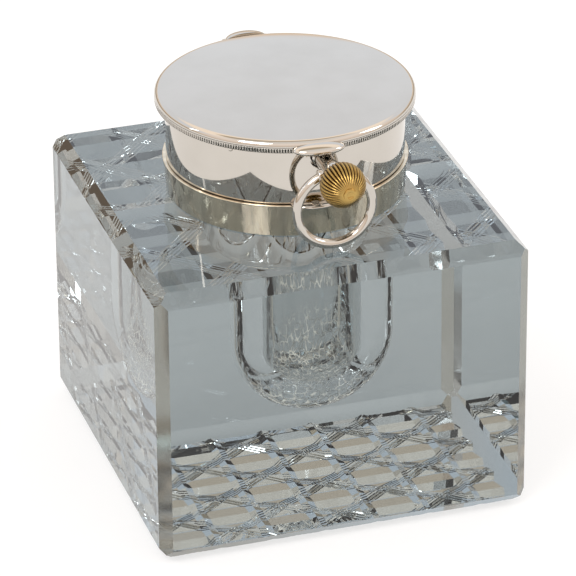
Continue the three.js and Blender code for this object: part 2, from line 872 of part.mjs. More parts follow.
// A toothed disc, with windows between its spokes if it has any
function wheel(radius, teeth, spokes, hub, z, height) {
  const points = [];
  for (let i = 0; i < teeth * 2; i++) {
    const angle = (i / teeth) * Math.PI;
    const r = i % 2 ? radius : radius - tooth_depth;
    points.push([r * Math.cos(angle), r * Math.sin(angle)]);
  }
  const shape = outline(points);
  for (let i = 0; i < spokes; i++) {
    shape.holes.push(spokeWindow(hub + spoke_width, radius - tooth_depth - wheel_rim, i, spokes));
  }
  return slab(shape, z, height);
}

function spokeWindow(inner, outer, index, spokes) {
  const sweep = (Math.PI * 2) / spokes;
  const start = index * sweep;
  const inner_trim = spoke_width / 2 / inner;
  const outer_trim = spoke_width / 2 / outer;
  const points = [];
  for (let i = 0; i <= spoke_window_steps; i++) {
    const angle = start + outer_trim + ((sweep - outer_trim * 2) * i) / spoke_window_steps;
    points.push([outer * Math.cos(angle), outer * Math.sin(angle)]);
  }
  for (const angle of [start + sweep - inner_trim, start + inner_trim]) {
    points.push([inner * Math.cos(angle), inner * Math.sin(angle)]);
  }
  return outline(points);
}

// A thin pivot that stands in both plates, and a pinion that fills the space between them
function pivots(top = pillar_plate_top - pivot_gap) {
  const low = top_plate_z + pivot_gap;
  return disc(pivot_radius, low, top - low, tiny_facets);
}

function pinion(radius, top = pillar_plate_z - pivot_gap) {
  const foot = train_z + pivot_gap;
  return disc(radius, foot, top - foot, tiny_facets);
}

function trainWheel(place, radius, teeth, spokes, pinion_radius) {
  const piece = wheel(radius, teeth, spokes, pinion_radius, mid_wheel_z, wheel_thickness);
  return at(place, piece.add(pinion(pinion_radius)).add(pivots()));
}

function centreWheel() {
  const low = top_plate_z + pivot_gap;
  const arbor = disc(centre_arbor_radius, low, minute_hand_z + hand_thickness - low, tiny_facets);
  const hub = centre_pinion_radius;
  return wheel(centre_wheel_radius, centre_teeth, centre_spokes, hub, high_wheel_z, wheel_thickness)
    .add(pinion(centre_pinion_radius, high_wheel_z + wheel_thickness))
    .add(arbor);
}

function fourthWheel() {
  const piece = wheel(
    fourth_wheel_radius,
    fourth_teeth,
    train_spokes,
    fourth_pinion_radius,
    low_wheel_z,
    wheel_thickness,
  );
  return at(
    fourth_place,
    piece.add(pinion(fourth_pinion_radius)).add(pivots(seconds_hand_z + hand_thickness)),
  );
}

// Barrel with its cover, spring and arbor
function barrel() {
  const bore = barrel_arbor_radius + pivot_gap;
  const top = barrel_z + barrel_height;
  const profile = [
    [bore, barrel_z],
    [barrel_radius, barrel_z],
    [barrel_radius, top],
    [barrel_radius - barrel_wall, top],
    [barrel_radius - barrel_wall, barrel_z + barrel_floor],
    [bore, barrel_z + barrel_floor],
    [bore, barrel_z],
  ];
  return at(barrel_place, lathe(profile, medium_facets));
}

function barrelCover() {
  const outer = barrel_radius - barrel_wall - bore_gap;
  const z = barrel_z + barrel_height - barrel_floor;
  return at(barrel_place, ring(outer, barrel_arbor_radius + pivot_gap, z, barrel_floor, medium_facets));
}

function barrelArbor() {
  return at(barrel_place, disc(barrel_arbor_radius, barrel_z, barrel_height, tiny_facets).add(pivots()));
}

function ratchetWheel() {
  const bore = hole(pivot_radius + bore_gap, mid_wheel_z, wheel_thickness, tiny_facets);
  const piece = wheel(ratchet_radius, ratchet_teeth, 0, 0, mid_wheel_z, wheel_thickness);
  return at(barrel_place, piece.subtract(bore));
}

function crownWheel() {
  const post = disc(pivot_radius, mid_wheel_z, pillar_plate_top - pivot_gap - mid_wheel_z, tiny_facets);
  const piece = wheel(crown_wheel_radius, crown_wheel_teeth, 0, 0, mid_wheel_z, wheel_thickness);
  return at(crown_wheel_place, piece.add(post));
}

// A flat spiral blade: out along its outer side, and back along its inner side
function spiral(inner, outer, blade, z, height) {
  const steps = spring_turns * spring_steps_per_turn;
  const outside = [];
  const inside = [];
  for (let i = 0; i <= steps; i++) {
    const angle = (i / spring_steps_per_turn) * Math.PI * 2;
    const r = inner + ((outer - inner) * i) / steps;
    outside.push([(r + blade / 2) * Math.cos(angle), (r + blade / 2) * Math.sin(angle)]);
    inside.unshift([(r - blade / 2) * Math.cos(angle), (r - blade / 2) * Math.sin(angle)]);
  }
  return slab(outline(outside.concat(inside)), z, height);
}

function mainspring() {
  const inner = barrel_arbor_radius + swing_gap + mainspring_blade;
  const outer = barrel_radius - barrel_wall - swing_gap;
  const z = barrel_z + barrel_floor + rest_gap;
  const height = barrel_height - barrel_floor * 2 - rest_gap * 2;
  return at(barrel_place, spiral(inner, outer, mainspring_blade, z, height));
}

// Pallet lever: an anchor at the escape wheel and an arm that reaches towards the balance
function palletLever() {
  const arm_end = lever_run - pallet_reach - balance_staff_radius - pallet_fork_gap;
  const half = pallet_arm_width / 2;
  const shape = outline([
    [-pallet_arm_width, -pallet_half_span],
    [half, -pallet_half_span],
    [pallet_arm_width, -half],
    [arm_end, -half],
    [arm_end, half],
    [pallet_arm_width, half],
    [half, pallet_half_span],
    [-pallet_arm_width, pallet_half_span],
    [-half, 0],
  ]);
  const anchor = slab(shape, mid_wheel_z, wheel_thickness).rotate([0, 0, lever_turn_deg]);
  return at(pallet_place, anchor.add(pivots()));
}

// Balance, its spring, and the cock that bridges them
function balanceWheel() {
  const z = train_z - rest_gap - balance_height;
  const arm_half = balance_radius - balance_rim / 2;
  const half = spoke_width / 2;
  const low = cock_z + pivot_gap;
  const staff_height = pillar_plate_z - pivot_gap - hairspring_z;
  const piece = ring(balance_radius, balance_radius - balance_rim, z, balance_height, medium_facets)
    .add(box(-arm_half, arm_half, -half, half, z, z + balance_height / 2))
    .add(disc(balance_staff_radius, hairspring_z, staff_height, tiny_facets))
    .add(disc(balance_pivot_radius, low, pillar_plate_top - pivot_gap - low, tiny_facets));
  return at(balance_place, piece);
}

function hairspring() {
  const inner = balance_staff_radius + rest_gap + hairspring_blade;
  const blade = spiral(inner, hairspring_radius, hairspring_blade, hairspring_z, hairspring_height);
  return at(balance_place, blade);
}

// Moves a piece drawn on the balance's axis to the cock's foot
function atCockFoot(piece) {
  const reach = balance_radius + balance_room_gap + cock_foot / 2;
  return at(balance_place, piece.translate([0, -reach, 0]).rotate([0, 0, cock_turn_deg]));
}

function cockScrewWay(z, height) {
  return atCockFoot(hole(cock_screw_radius + rest_gap, z, height, tiny_facets));
}

function balanceCock() {
  const foot_near = balance_radius + balance_room_gap;
  const foot_far = foot_near + cock_foot;
  const shape = new THREE.Shape();
  shape.moveTo(-cock_nose_half_width, 0);
  shape.absarc(0, 0, cock_nose_half_width, Math.PI, 0, true);
  shape.lineTo(cock_half_width, -foot_far);
  shape.lineTo(-cock_half_width, -foot_far);
  const half = cock_half_width;
  const foot = box(-half, half, -foot_far, -foot_near, cock_z, top_plate_z - rest_gap);
  const pivot_way = hole(balance_pivot_radius + pivot_gap, cock_z, cock_thickness, tiny_facets);
  const piece = slab(shape, cock_z, cock_thickness).add(foot).subtract(pivot_way);
  const placed = at(balance_place, piece.rotate([0, 0, cock_turn_deg]));
  return placed.subtract(cockScrewWay(cock_z, cock_thickness));
}

function cockScrew() {
  const head_z = cock_z - rest_gap - cock_screw_head_height;
  const head = disc(cock_screw_head_radius, head_z, cock_screw_head_height, tiny_facets);
  return atCockFoot(head.add(disc(cock_screw_radius, head_z, train_z - rest_gap - head_z, tiny_facets)));
}

// Plates and pillars
function pierced(radius, z, places) {
  const way = hole(pivot_radius + pivot_gap, z, plate_thickness, tiny_facets);
  const centre_way = hole(centre_arbor_radius + pivot_gap, z, plate_thickness, small_facets);
  const plate = disc(radius, z, plate_thickness, medium_facets).subtract(centre_way);
  return places.reduce((piece, place) => piece.subtract(at(place, way)), plate);
}

function pillarPlate() {
  const places = [third_place, fourth_place, escape_place, pallet_place, barrel_place, balance_place];
  const pinion_start = winding_pinion_reach - swing_gap;
  const pinion_end = winding_pinion_reach + winding_pinion_length + stem_pull + swing_gap;
  const stem_way = rodForward(stem_radius + swing_gap, winding_pinion_reach, case_radius, tiny_facets)
    .add(rodForward(winding_pinion_radius + swing_gap, pinion_start, pinion_end, tiny_facets));
  return pierced(plate_radius, pillar_plate_z, places.concat([crown_wheel_place, minute_wheel_place]))
    .subtract(stem_way);
}

function topPlate() {
  const places = [third_place, fourth_place, escape_place, pallet_place, barrel_place];
  const balance_room = hole(balance_radius + balance_room_gap, top_plate_z, plate_thickness, medium_facets);
  return pierced(top_plate_radius, top_plate_z, places)
    .subtract(at(balance_place, balance_room))
    .subtract(cockScrewWay(top_plate_z, plate_thickness));
}

function pillar(turn_deg) {
  const height = pillar_plate_z - train_z - rest_gap * 2;
  const post = disc(pillar_radius, train_z + rest_gap, height, tiny_facets);
  return at(polar(plate_radius - pillar_inset, turn_deg), post);
}

// Motion work: the cannon pinion drives the minute wheel, whose pinion drives the hour wheel
function cannonPinion() {
  const height = minute_hand_z - bore_gap - motion_z;
  return disc(cannon_radius, motion_z, motion_wheel_thickness, small_facets)
    .add(disc(cannon_pipe_radius, motion_z, height, small_facets))
    .subtract(hole(centre_arbor_radius + bore_gap, motion_z, height, small_facets));
}

function minuteWheel() {
  const foot = pillar_plate_z + pivot_gap;
  const top = hour_wheel_z + motion_wheel_thickness;
  const piece = wheel(minute_wheel_radius, motion_teeth, 0, 0, motion_z, motion_wheel_thickness)
    .add(disc(minute_pinion_radius, motion_z, top - motion_z, tiny_facets))
    .add(disc(pivot_radius, foot, motion_z - foot, tiny_facets));
  return at(minute_wheel_place, piece);
}

function hourWheel() {
  const height = hour_hand_z - bore_gap - hour_wheel_z;
  return wheel(hour_wheel_radius, motion_teeth, 0, 0, hour_wheel_z, motion_wheel_thickness)
    .add(disc(hour_pipe_radius, hour_wheel_z, height, small_facets))
    .subtract(hole(hour_pipe_bore, hour_wheel_z, height, small_facets));
}

// A spade hand that points turn_deg clockwise from twelve, which is at the front
function hand(length, width, bore, z, turn_deg) {
  const half = width / 2;
  const shape = outline([
    [0, -half],
    [length * hand_neck_share, -half],
    [length * hand_shoulder_share, -width],
    [length, 0],
    [length * hand_shoulder_share, width],
    [length * hand_neck_share, half],
    [0, half],
  ]);
  return slab(shape, z, hand_thickness)
    .add(disc(bore + hand_hub_width, z, hand_thickness, small_facets))
    .subtract(hole(bore, z, hand_thickness, small_facets))
    .rotate([0, 0, -90 - turn_deg]);
}

function hourHand() {
  return hand(hour_hand_length, hour_hand_width, hour_pipe_bore, hour_hand_z, hour_hand_turn_deg);
}

function minuteHand() {
  const bore = centre_arbor_radius + bore_gap;
  return hand(minute_hand_length, minute_hand_width, bore, minute_hand_z, minute_hand_turn_deg);
}

function secondsHand() {
  const bore = pivot_radius + bore_gap;
  const piece = hand(seconds_hand_length, seconds_hand_width, bore, seconds_hand_z, seconds_hand_turn_deg);
  return at(fourth_place, piece);
}

// Glass and collar
add(inkwell, "glass_block", glassBlock(), glass);
add(neck, "collar_cement", collarCement(), plaster);
add(neck, "collar", collar(), silver);
add(neck, "collar_knuckle_left", collarKnuckle(-1), silver);
add(neck, "collar_knuckle_right", collarKnuckle(1), silver);
add(neck, "lid_hinge_pin", hingePin(lid_pin_radius, lid_knuckle_length, lid_axis_y, lid_axis_z), steel);

// Lid
add(neck, "lid_drum", lidDrum(), silver);
add(neck, "lid_floor", lidFloor(), silver);
add(neck, "lid_knuckle", lidKnuckle(), silver);
add(neck, "lid_thumbpiece", lidThumbpiece(), silver);
add(neck, "well_seal_ring", wellSealRing(), silver);
add(neck, "drum_cover_knuckle_left", drumCoverKnuckle(-1), silver);
add(neck, "drum_cover_knuckle_right", drumCoverKnuckle(1), silver);
add(
  neck,
  "cover_hinge_pin",
  hingePin(cover_pin_radius, cover_knuckle_length, cover_axis_y, cover_axis_z),
  steel,
);

// Cover
add(neck, "cover_plate", coverPlate(), silver);
add(neck, "cover_reeded_rim", coverRim(), silver);
add(neck, "cover_thumbpiece", coverThumbpiece(), silver);
add(neck, "cover_knuckle", coverKnuckle(), silver);
add(neck, "cover_hinge_lug", coverHingeLug(), silver);
add(neck, "cover_catch_nib", coverNib(), silver);

// Watch case, with its pendant, crown and bow
add(neck, "watch_case_back", caseBack(), silver);
add(neck, "watch_case_band", caseBand(), silver);
add(neck, "watch_bezel", bezel(), silver);
add(neck, "watch_crystal", crystal(), crystal_glass);
add(neck, "watch_dial", dial(), enamel);
add(neck, "pendant", pendant(), silver);
add(neck, "bow", bow(), silver);
add(neck, "crown", crown(), gilt);
add(neck, "winding_stem", windingStem(), steel);
add(neck, "setting_lever", settingLever(), steel);

// Movement
add(neck, "pillar_plate", pillarPlate(), brass);
add(neck, "top_plate", topPlate(), brass);
pillar_turns_deg.forEach((turn_deg, i) => add(neck, "plate_pillar_" + (i + 1), pillar(turn_deg), brass));
add(neck, "crown_wheel", crownWheel(), steel);
add(neck, "ratchet_wheel", ratchetWheel(), steel);
add(neck, "barrel_arbor", barrelArbor(), steel);
add(neck, "mainspring", mainspring(), blued_steel);
add(neck, "mainspring_barrel", barrel(), brass);
add(neck, "barrel_cover", barrelCover(), brass);
add(neck, "centre_wheel", centreWheel(), brass);
add(
  neck,
  "third_wheel",
  trainWheel(third_place, third_wheel_radius, third_teeth, train_spokes, third_pinion_radius),
  brass,
);
add(neck, "fourth_wheel", fourthWheel(), brass);
add(
  neck,
  "escape_wheel",
  trainWheel(escape_place, escape_wheel_radius, escape_teeth, 0, escape_pinion_radius),
  brass,
);
add(neck, "pallet_lever", palletLever(), steel);
add(neck, "balance_wheel", balanceWheel(), brass);
add(neck, "hairspring", hairspring(), blued_steel);
add(neck, "balance_cock", balanceCock(), brass);
add(neck, "balance_cock_screw", cockScrew(), blued_steel);

// Motion work and hands
add(neck, "cannon_pinion", cannonPinion(), steel);
add(neck, "minute_wheel", minuteWheel(), brass);
add(neck, "hour_wheel", hourWheel(), brass);
add(neck, "hour_hand", hourHand(), blued_steel);
add(neck, "minute_hand", minuteHand(), blued_steel);
add(neck, "seconds_hand", secondsHand(), blued_steel);

export default inkwell;
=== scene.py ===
import json
import math

import bmesh
import bpy
from mathutils import Matrix, Vector

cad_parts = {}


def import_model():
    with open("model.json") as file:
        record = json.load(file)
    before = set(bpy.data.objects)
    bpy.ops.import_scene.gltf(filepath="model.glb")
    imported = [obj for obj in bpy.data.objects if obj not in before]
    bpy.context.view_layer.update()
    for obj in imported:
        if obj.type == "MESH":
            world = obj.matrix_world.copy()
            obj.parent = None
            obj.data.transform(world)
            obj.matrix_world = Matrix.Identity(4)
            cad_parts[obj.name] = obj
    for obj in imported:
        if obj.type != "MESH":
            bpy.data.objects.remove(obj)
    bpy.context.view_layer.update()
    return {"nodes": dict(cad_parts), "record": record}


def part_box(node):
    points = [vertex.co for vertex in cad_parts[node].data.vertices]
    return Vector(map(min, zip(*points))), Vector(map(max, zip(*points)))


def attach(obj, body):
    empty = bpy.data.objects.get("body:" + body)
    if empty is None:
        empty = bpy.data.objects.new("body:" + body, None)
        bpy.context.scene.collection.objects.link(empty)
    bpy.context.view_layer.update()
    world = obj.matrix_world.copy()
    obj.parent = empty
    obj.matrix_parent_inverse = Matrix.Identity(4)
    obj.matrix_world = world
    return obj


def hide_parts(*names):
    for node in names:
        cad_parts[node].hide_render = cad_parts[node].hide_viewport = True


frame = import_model()

# Lengths here are millimetres; meshes are scaled to metres when they become objects.
MM = 0.001
TAU = math.tau


def corners(node):
    low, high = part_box(node)
    return Vector(low) / MM, Vector(high) / MM


def low(node):
    return corners(node)[0]


def high(node):
    return corners(node)[1]


def radius_of(node):
    return (high(node).x - low(node).x) / 2


AXIS_X = (low("collar").x + high("collar").x) / 2
AXIS_Y = (low("collar").y + high("collar").y) / 2
PENDANT_Z = (low("pendant").z + high("pendant").z) / 2


# Materials

# The grain of metal and glass, in cells per metre, with the strength and depth of their hairlines
PATCH_SCALE = 90
WEAR_SCALE = 260
HAIRLINE_SCALE = 700
HAIRLINE_DEPTH = 0.02
GLASS_WEAR_SCALE = 60
GLASS_RUB_SCALE = 900
GLASS_RUB_STRENGTH = 0.015
GLASS_RUB_DEPTH = 0.01
GRAIN_STRENGTH = 0.2

GLASS_IOR = 1.52
# The block's dark glass colour is partly its own cast and partly painted shade, standing for the shaded
# floor seen through it
GLASS_TINT_AND_SHADE = (0.305, 0.342, 0.350)
GLASS_TINT_AND_SHADE_DEEP = (0.287, 0.328, 0.338)
GLASS_DEPTH_COLOUR = (0.55, 0.66, 0.70, 1)
GLASS_DEPTH_DENSITY = 1.5
WELL_TINT = (0.90, 0.90, 0.88)
CORNER_TINT = (0.50, 0.44, 0.34)
CORNER_TINT_DEEP = (0.38, 0.33, 0.25)
CORNER_SATIN = 0.22

# The crackle: its cells, bends and painted glints per metre, the bends' reach, where it fades out, and its
# look, down to the colour and glow of the painted glints
CRACKLE_SCALE = 430
BEND_SCALE = 260
GLINT_SCALE = 420
CRACKLE_BEND = 2.5
CRACKLE_TOP = 31
CRACK_TINT = (0.98, 0.94, 0.86)
PAINTED_GLINT_COLOUR = (1.0, 0.93, 0.80)
PAINTED_GLINT_GLOW = 0.8
CRACK_STRENGTH = 0.6
CRACK_DEPTH = 0.2

WATCH_GLASS_IOR = 1.5
WATCH_GLASS_RUB_SCALE = 1200


def material(name):
    made = bpy.data.materials.new(name)
    made.use_nodes = True
    return made, made.node_tree, made.node_tree.nodes["Principled BSDF"]


def link(tree, out_node, out_name, in_node, in_name):
    tree.links.new(out_node.outputs[out_name], in_node.inputs[in_name])


def coordinates(tree, stretch=(1, 1, 1)):
    place = tree.nodes.new("ShaderNodeTexCoord")
    scaled = tree.nodes.new("ShaderNodeMapping")
    scaled.inputs["Scale"].default_value = stretch
    link(tree, place, "Object", scaled, "Vector")
    return scaled


def noise(tree, scale, detail=4, stretch=(1, 1, 1), roughness=0.5):
    texture = tree.nodes.new("ShaderNodeTexNoise")
    texture.inputs["Scale"].default_value = scale
    texture.inputs["Detail"].default_value = detail
    texture.inputs["Roughness"].default_value = roughness
    link(tree, coordinates(tree, stretch), "Vector", texture, "Vector")
    return texture


def ramp(tree, source, output, stops):
    made = tree.nodes.new("ShaderNodeValToRGB")
    elements = made.color_ramp.elements
    while len(elements) < len(stops):
        elements.new(0.5)
    for element, (place, colour) in zip(elements, stops):
        element.position = place
        element.color = (*colour, 1) if len(colour) == 3 else colour
    link(tree, source, output, made, "Fac")
    return made


def greys(*stops):
    return [(place, (value, value, value)) for place, value in stops]


def bump(tree, bsdf, source, output, strength, distance):
    made = tree.nodes.new("ShaderNodeBump")
    made.inputs["Strength"].default_value = strength
    made.inputs["Distance"].default_value = distance * MM
    link(tree, source, output, made, "Height")
    link(tree, made, "Normal", bsdf, "Normal")


def mix(tree, factor, factor_output, a, a_output, b, b_output):
    """Two colours by a factor. A Mix node's colour mode takes them on sockets 6 and 7 and gives socket 2."""
    made = tree.nodes.new("ShaderNodeMix")
    made.data_type = "RGBA"
    tree.links.new(factor.outputs[factor_output], made.inputs[0])
    tree.links.new(a.outputs[a_output], made.inputs[6])
    tree.links.new(b.outputs[b_output], made.inputs[7])
    return made


def metal(name, light, dark, rough_low, rough_high, hollow_grime_and_shade=None, scratch=0.02, lie=(1, 1, 1)):
    """Polished metal: colour patches drawn out along its lie, patchy polish, hairlines, and hollows darkened
    partly by grime and partly by painted shade.
    """
    made, tree, bsdf = material(name)
    bsdf.inputs["Metallic"].default_value = 1
    patches = noise(tree, PATCH_SCALE, 5, lie)
    tint = ramp(tree, patches, "Fac", [(0.35, light), (0.75, dark)])
    # The colour in the hollows is darkened: partly grime, partly painted shade
    if hollow_grime_and_shade:
        depth = tree.nodes.new("ShaderNodeAttribute")
        depth.attribute_name = "hollow_grime_and_shade"
        grime_and_shade = tree.nodes.new("ShaderNodeRGB")
        grime_and_shade.outputs[0].default_value = (*hollow_grime_and_shade, 1)
        colour = mix(tree, depth, "Fac", tint, "Color", grime_and_shade, "Color")
        tree.links.new(colour.outputs[2], bsdf.inputs["Base Color"])
    else:
        link(tree, tint, "Color", bsdf, "Base Color")
    wear = noise(tree, WEAR_SCALE, 6)
    polish = ramp(tree, wear, "Fac", greys((0.3, rough_low), (0.8, rough_high)))
    link(tree, polish, "Color", bsdf, "Roughness")
    hairlines = noise(tree, HAIRLINE_SCALE, 3, (1, 0.12, 1))
    bump(tree, bsdf, hairlines, "Fac", scratch, HAIRLINE_DEPTH)
    return made


def cut_glass(name, light, deep, satin=0.0, crackle=False):
    """Clear lead glass with faint hairlines, satin where it is worn, and, if asked, a crackled skin whose
    lines glow with painted glints.
    """
    made, tree, bsdf = material(name)
    bsdf.inputs["Transmission Weight"].default_value = 1
    bsdf.inputs["IOR"].default_value = GLASS_IOR
    wear = noise(tree, GLASS_WEAR_SCALE, 5)
    tint = ramp(tree, wear, "Fac", [(0.2, light), (0.8, deep)])
    link(tree, tint, "Color", bsdf, "Base Color")
    rubs = noise(tree, GLASS_RUB_SCALE, 2, (1, 0.2, 1))
    polish = ramp(tree, rubs, "Fac", greys((0.55, satin), (0.9, satin + 0.03)))
    link(tree, polish, "Color", bsdf, "Roughness")
    if crackle:
        cells = tree.nodes.new("ShaderNodeTexVoronoi")
        cells.feature = "DISTANCE_TO_EDGE"
        cells.inputs["Scale"].default_value = CRACKLE_SCALE
        bend = tree.nodes.new("ShaderNodeVectorMath")
        bend.operation = "MULTIPLY_ADD"
        bend.inputs[1].default_value = (CRACKLE_BEND * MM,) * 3
        link(tree, noise(tree, BEND_SCALE, 2), "Color", bend, 0)
        link(tree, coordinates(tree), "Vector", bend, 2)
        link(tree, bend, "Vector", cells, "Vector")
        lines = ramp(tree, cells, "Distance", greys((0.0, 1.0), (0.03, 0.8), (0.09, 0.0)))
        split = tree.nodes.new("ShaderNodeSeparateXYZ")
        link(tree, coordinates(tree, (1, 1, 1 / (CRACKLE_TOP * MM))), "Vector", split, "Vector")
        fade = ramp(tree, split, "Z", greys((0.75, 1.0), (1.0, 0.0)))
        plain = tree.nodes.new("ShaderNodeRGB")
        plain.outputs[0].default_value = (0, 0, 0, 1)
        edges = mix(tree, fade, "Color", plain, "Color", lines, "Color")
        pale = ramp(tree, edges, "Result", [(0.0, light), (1.0, CRACK_TINT)])
        link(tree, pale, "Color", bsdf, "Base Color")
        frost = ramp(tree, edges, "Result", greys((0.0, 0.0), (1.0, 0.4)))
        link(tree, frost, "Color", bsdf, "Roughness")
        clear = ramp(tree, edges, "Result", greys((0.0, 1.0), (1.0, 0.35)))
        link(tree, clear, "Color", bsdf, "Transmission Weight")
        # Painted glints: the crackle lines glow here and there though no lamp lights them
        painted_glint = ramp(tree, edges, "Result", [(0.0, (0, 0, 0)), (1.0, PAINTED_GLINT_COLOUR)])
        glints = ramp(tree, noise(tree, GLINT_SCALE, 3), "Fac", greys((0.42, 0.0), (0.6, 1.0)))
        seen = mix(tree, glints, "Color", plain, "Color", painted_glint, "Color")
        link(tree, seen, "Result", bsdf, "Emission Color")
        bsdf.inputs["Emission Strength"].default_value = PAINTED_GLINT_GLOW
        bump(tree, bsdf, frost, "Color", CRACK_STRENGTH, CRACK_DEPTH)
    else:
        bump(tree, bsdf, rubs, "Fac", GLASS_RUB_STRENGTH, GLASS_RUB_DEPTH)
    absorb = tree.nodes.new("ShaderNodeVolumeAbsorption")
    absorb.inputs["Color"].default_value = GLASS_DEPTH_COLOUR
    absorb.inputs["Density"].default_value = GLASS_DEPTH_DENSITY
    out = tree.nodes["Material Output"]
    link(tree, absorb, "Volume", out, "Volume")
    return made


def dull(name, light, dark, roughness, scale=400, depth=0.05):
    """A matt or satin surface with grain."""
    made, tree, bsdf = material(name)
    grain = noise(tree, scale, 6)
    tint = ramp(tree, grain, "Fac", [(0.3, light), (0.8, dark)])
    link(tree, tint, "Color", bsdf, "Base Color")
    polish = ramp(tree, grain, "Fac", greys((0.2, roughness), (0.9, min(1, roughness * 1.4))))
    link(tree, polish, "Color", bsdf, "Roughness")
    bump(tree, bsdf, grain, "Fac", GRAIN_STRENGTH, depth)
    return made


# The block's glass is darkened: partly its own cast, partly painted shade
glass = cut_glass("cut_glass", GLASS_TINT_AND_SHADE, GLASS_TINT_AND_SHADE_DEEP)
corner_glass = cut_glass("rubbed_corner", CORNER_TINT, CORNER_TINT_DEEP, CORNER_SATIN)
well_glass = cut_glass("crackled_glass", WELL_TINT, WELL_TINT, crackle=True)
# Silver darkens in the coin edge's reed hollows: partly tarnish, partly painted shade
silver = metal(
    "silver_plate", (0.585, 0.55, 0.50), (0.545, 0.51, 0.46), 0.02, 0.08, hollow_grime_and_shade=(0.10, 0.08, 0.06),
)
# The collar's silver is streaked light and dark along its upright lie: partly rubbed wear, partly painted
# reflection
collar_silver_painted_streaks = metal(
    "rubbed_silver_and_painted_streaks", (0.80, 0.70, 0.54), (0.46, 0.41, 0.33), 0.05, 0.17, scratch=0.08, lie=(4, 4, 0.5),
)
# The gilt darkens in the crown's flute bottoms: partly grime, partly painted shade
gilt = metal("worn_gilt", (0.50, 0.335, 0.11), (0.36, 0.235, 0.07), 0.18, 0.34, hollow_grime_and_shade=(0.11, 0.065, 0.02))
brass = metal("gilt_brass", (0.80, 0.62, 0.28), (0.68, 0.50, 0.20), 0.14, 0.30)
steel = metal("bright_steel", (0.62, 0.63, 0.64), (0.48, 0.49, 0.50), 0.12, 0.28)
blued = metal("blued_steel", (0.03, 0.05, 0.16), (0.05, 0.04, 0.12), 0.10, 0.22)
plaster = dull("cement", (0.80, 0.77, 0.70), (0.68, 0.64, 0.56), 0.85)
enamel = dull("dial_enamel", (0.93, 0.92, 0.88), (0.90, 0.88, 0.83), 0.12, 60, 0.004)
ink = dull("dial_paint", (0.02, 0.02, 0.025), (0.04, 0.04, 0.045), 0.35, 300, 0.004)


def watch_glass_material():
    made, tree, bsdf = material("watch_glass")
    bsdf.inputs["Transmission Weight"].default_value = 1
    bsdf.inputs["IOR"].default_value = WATCH_GLASS_IOR
    rubs = noise(tree, WATCH_GLASS_RUB_SCALE, 3, (1, 0.3, 1))
    tint = ramp(tree, rubs, "Fac", [(0.2, (0.97, 0.98, 0.98)), (0.9, (0.93, 0.95, 0.95))])
    link(tree, tint, "Color", bsdf, "Base Color")
    polish = ramp(tree, rubs, "Fac", greys((0.6, 0.0), (0.95, 0.05)))
    link(tree, polish, "Color", bsdf, "Roughness")
    return made


crystal_glass = watch_glass_material()


# Mesh tools

# How far a cutter runs past what it cuts, and what a piece keeps clear of the wall that it stands on
OVERRUN = 2
WALL_GAP = 0.1

# Segments of round pieces: lid walls, collar and bezel, flat pieces, seconds recess, pendant, small ones
LID_SEGMENTS = 192
COLLAR_SEGMENTS = 160
FLAT_SEGMENTS = 128
RECESS_SEGMENTS = 96
PENDANT_SEGMENTS = 64
SMALL_SEGMENTS = 32

# The share of an edge that a rounded corner may take
CORNER_SHARE = 0.45


def upright(r, h, angle):
    return Vector((AXIS_X + r * math.cos(angle), AXIS_Y + r * math.sin(angle), h))


def forward(r, reach, angle):
    """About the pendant's axis: reach is measured along -Y from the neck's axis."""
    return Vector((AXIS_X + r * math.cos(angle), AXIS_Y - reach, PENDANT_Z + r * math.sin(angle)))


def across(y, z):
    return lambda r, x, angle: Vector((x, y + r * math.cos(angle), z + r * math.sin(angle)))


def spin(profile, segments=128, closed=False, place=upright, change=None):
    """A surface of revolution. Points of no radius close it on its axis."""
    bm = bmesh.new()
    rows = []
    # This layer says how far each point's colour darkens in a hollow: partly grime, partly painted shade
    hollow_grime_and_shade = bm.verts.layers.float.new("hollow_grime_and_shade")
    for k, (r, h) in enumerate(profile):
        if r < 1e-6:
            rows.append([bm.verts.new(place(0, h, 0))] * segments)
            continue
        row = []
        for i in range(segments):
            angle = TAU * i / segments
            amount = change(k, r, angle) if change else (0, 0)
            vert = bm.verts.new(place(r - amount[0], h, angle))
            vert[hollow_grime_and_shade] = amount[1]
            row.append(vert)
        rows.append(row)
    pairs = list(zip(rows, rows[1:]))
    if closed:
        pairs.append((rows[-1], rows[0]))
    for a, b in pairs:
        for i in range(segments):
            j = (i + 1) % segments
            loop = []
            for vert in (a[i], a[j], b[j], b[i]):
                if vert not in loop:
                    loop.append(vert)
            if len(loop) > 2:
                bm.faces.new(loop)
    bmesh.ops.recalc_face_normals(bm, faces=bm.faces)
    return bm


def soften(points, size, steps=3, closed=False):
    """Round every corner of a profile, but not its two open ends."""
    result = []
    count = len(points)
    for i, point in enumerate(points):
        if not closed and i in (0, count - 1):
            result.append(point)
            continue
        p = Vector(point)
        a = Vector(points[i - 1])
        b = Vector(points[(i + 1) % count])
        cut = min(size, (a - p).length * CORNER_SHARE, (b - p).length * CORNER_SHARE)
        start = p + (a - p).normalized() * cut
        end = p + (b - p).normalized() * cut
        for step in range(steps + 1):
            t = step / steps
            q = start * (1 - t) ** 2 + p * 2 * t * (1 - t) + end * t ** 2
            result.append((q.x, q.y))
    return result


def object_of(name, bm, sharp_deg=35):
    bmesh.ops.scale(bm, vec=(MM, MM, MM), verts=bm.verts)
    mesh = bpy.data.meshes.new(name)
    bm.to_mesh(mesh)
    bm.free()
    made = bpy.data.objects.new(name, mesh)
    bpy.context.scene.collection.objects.link(made)
    made.data.shade_smooth()
    made.data.set_sharp_from_angle(angle=math.radians(sharp_deg))
    return made


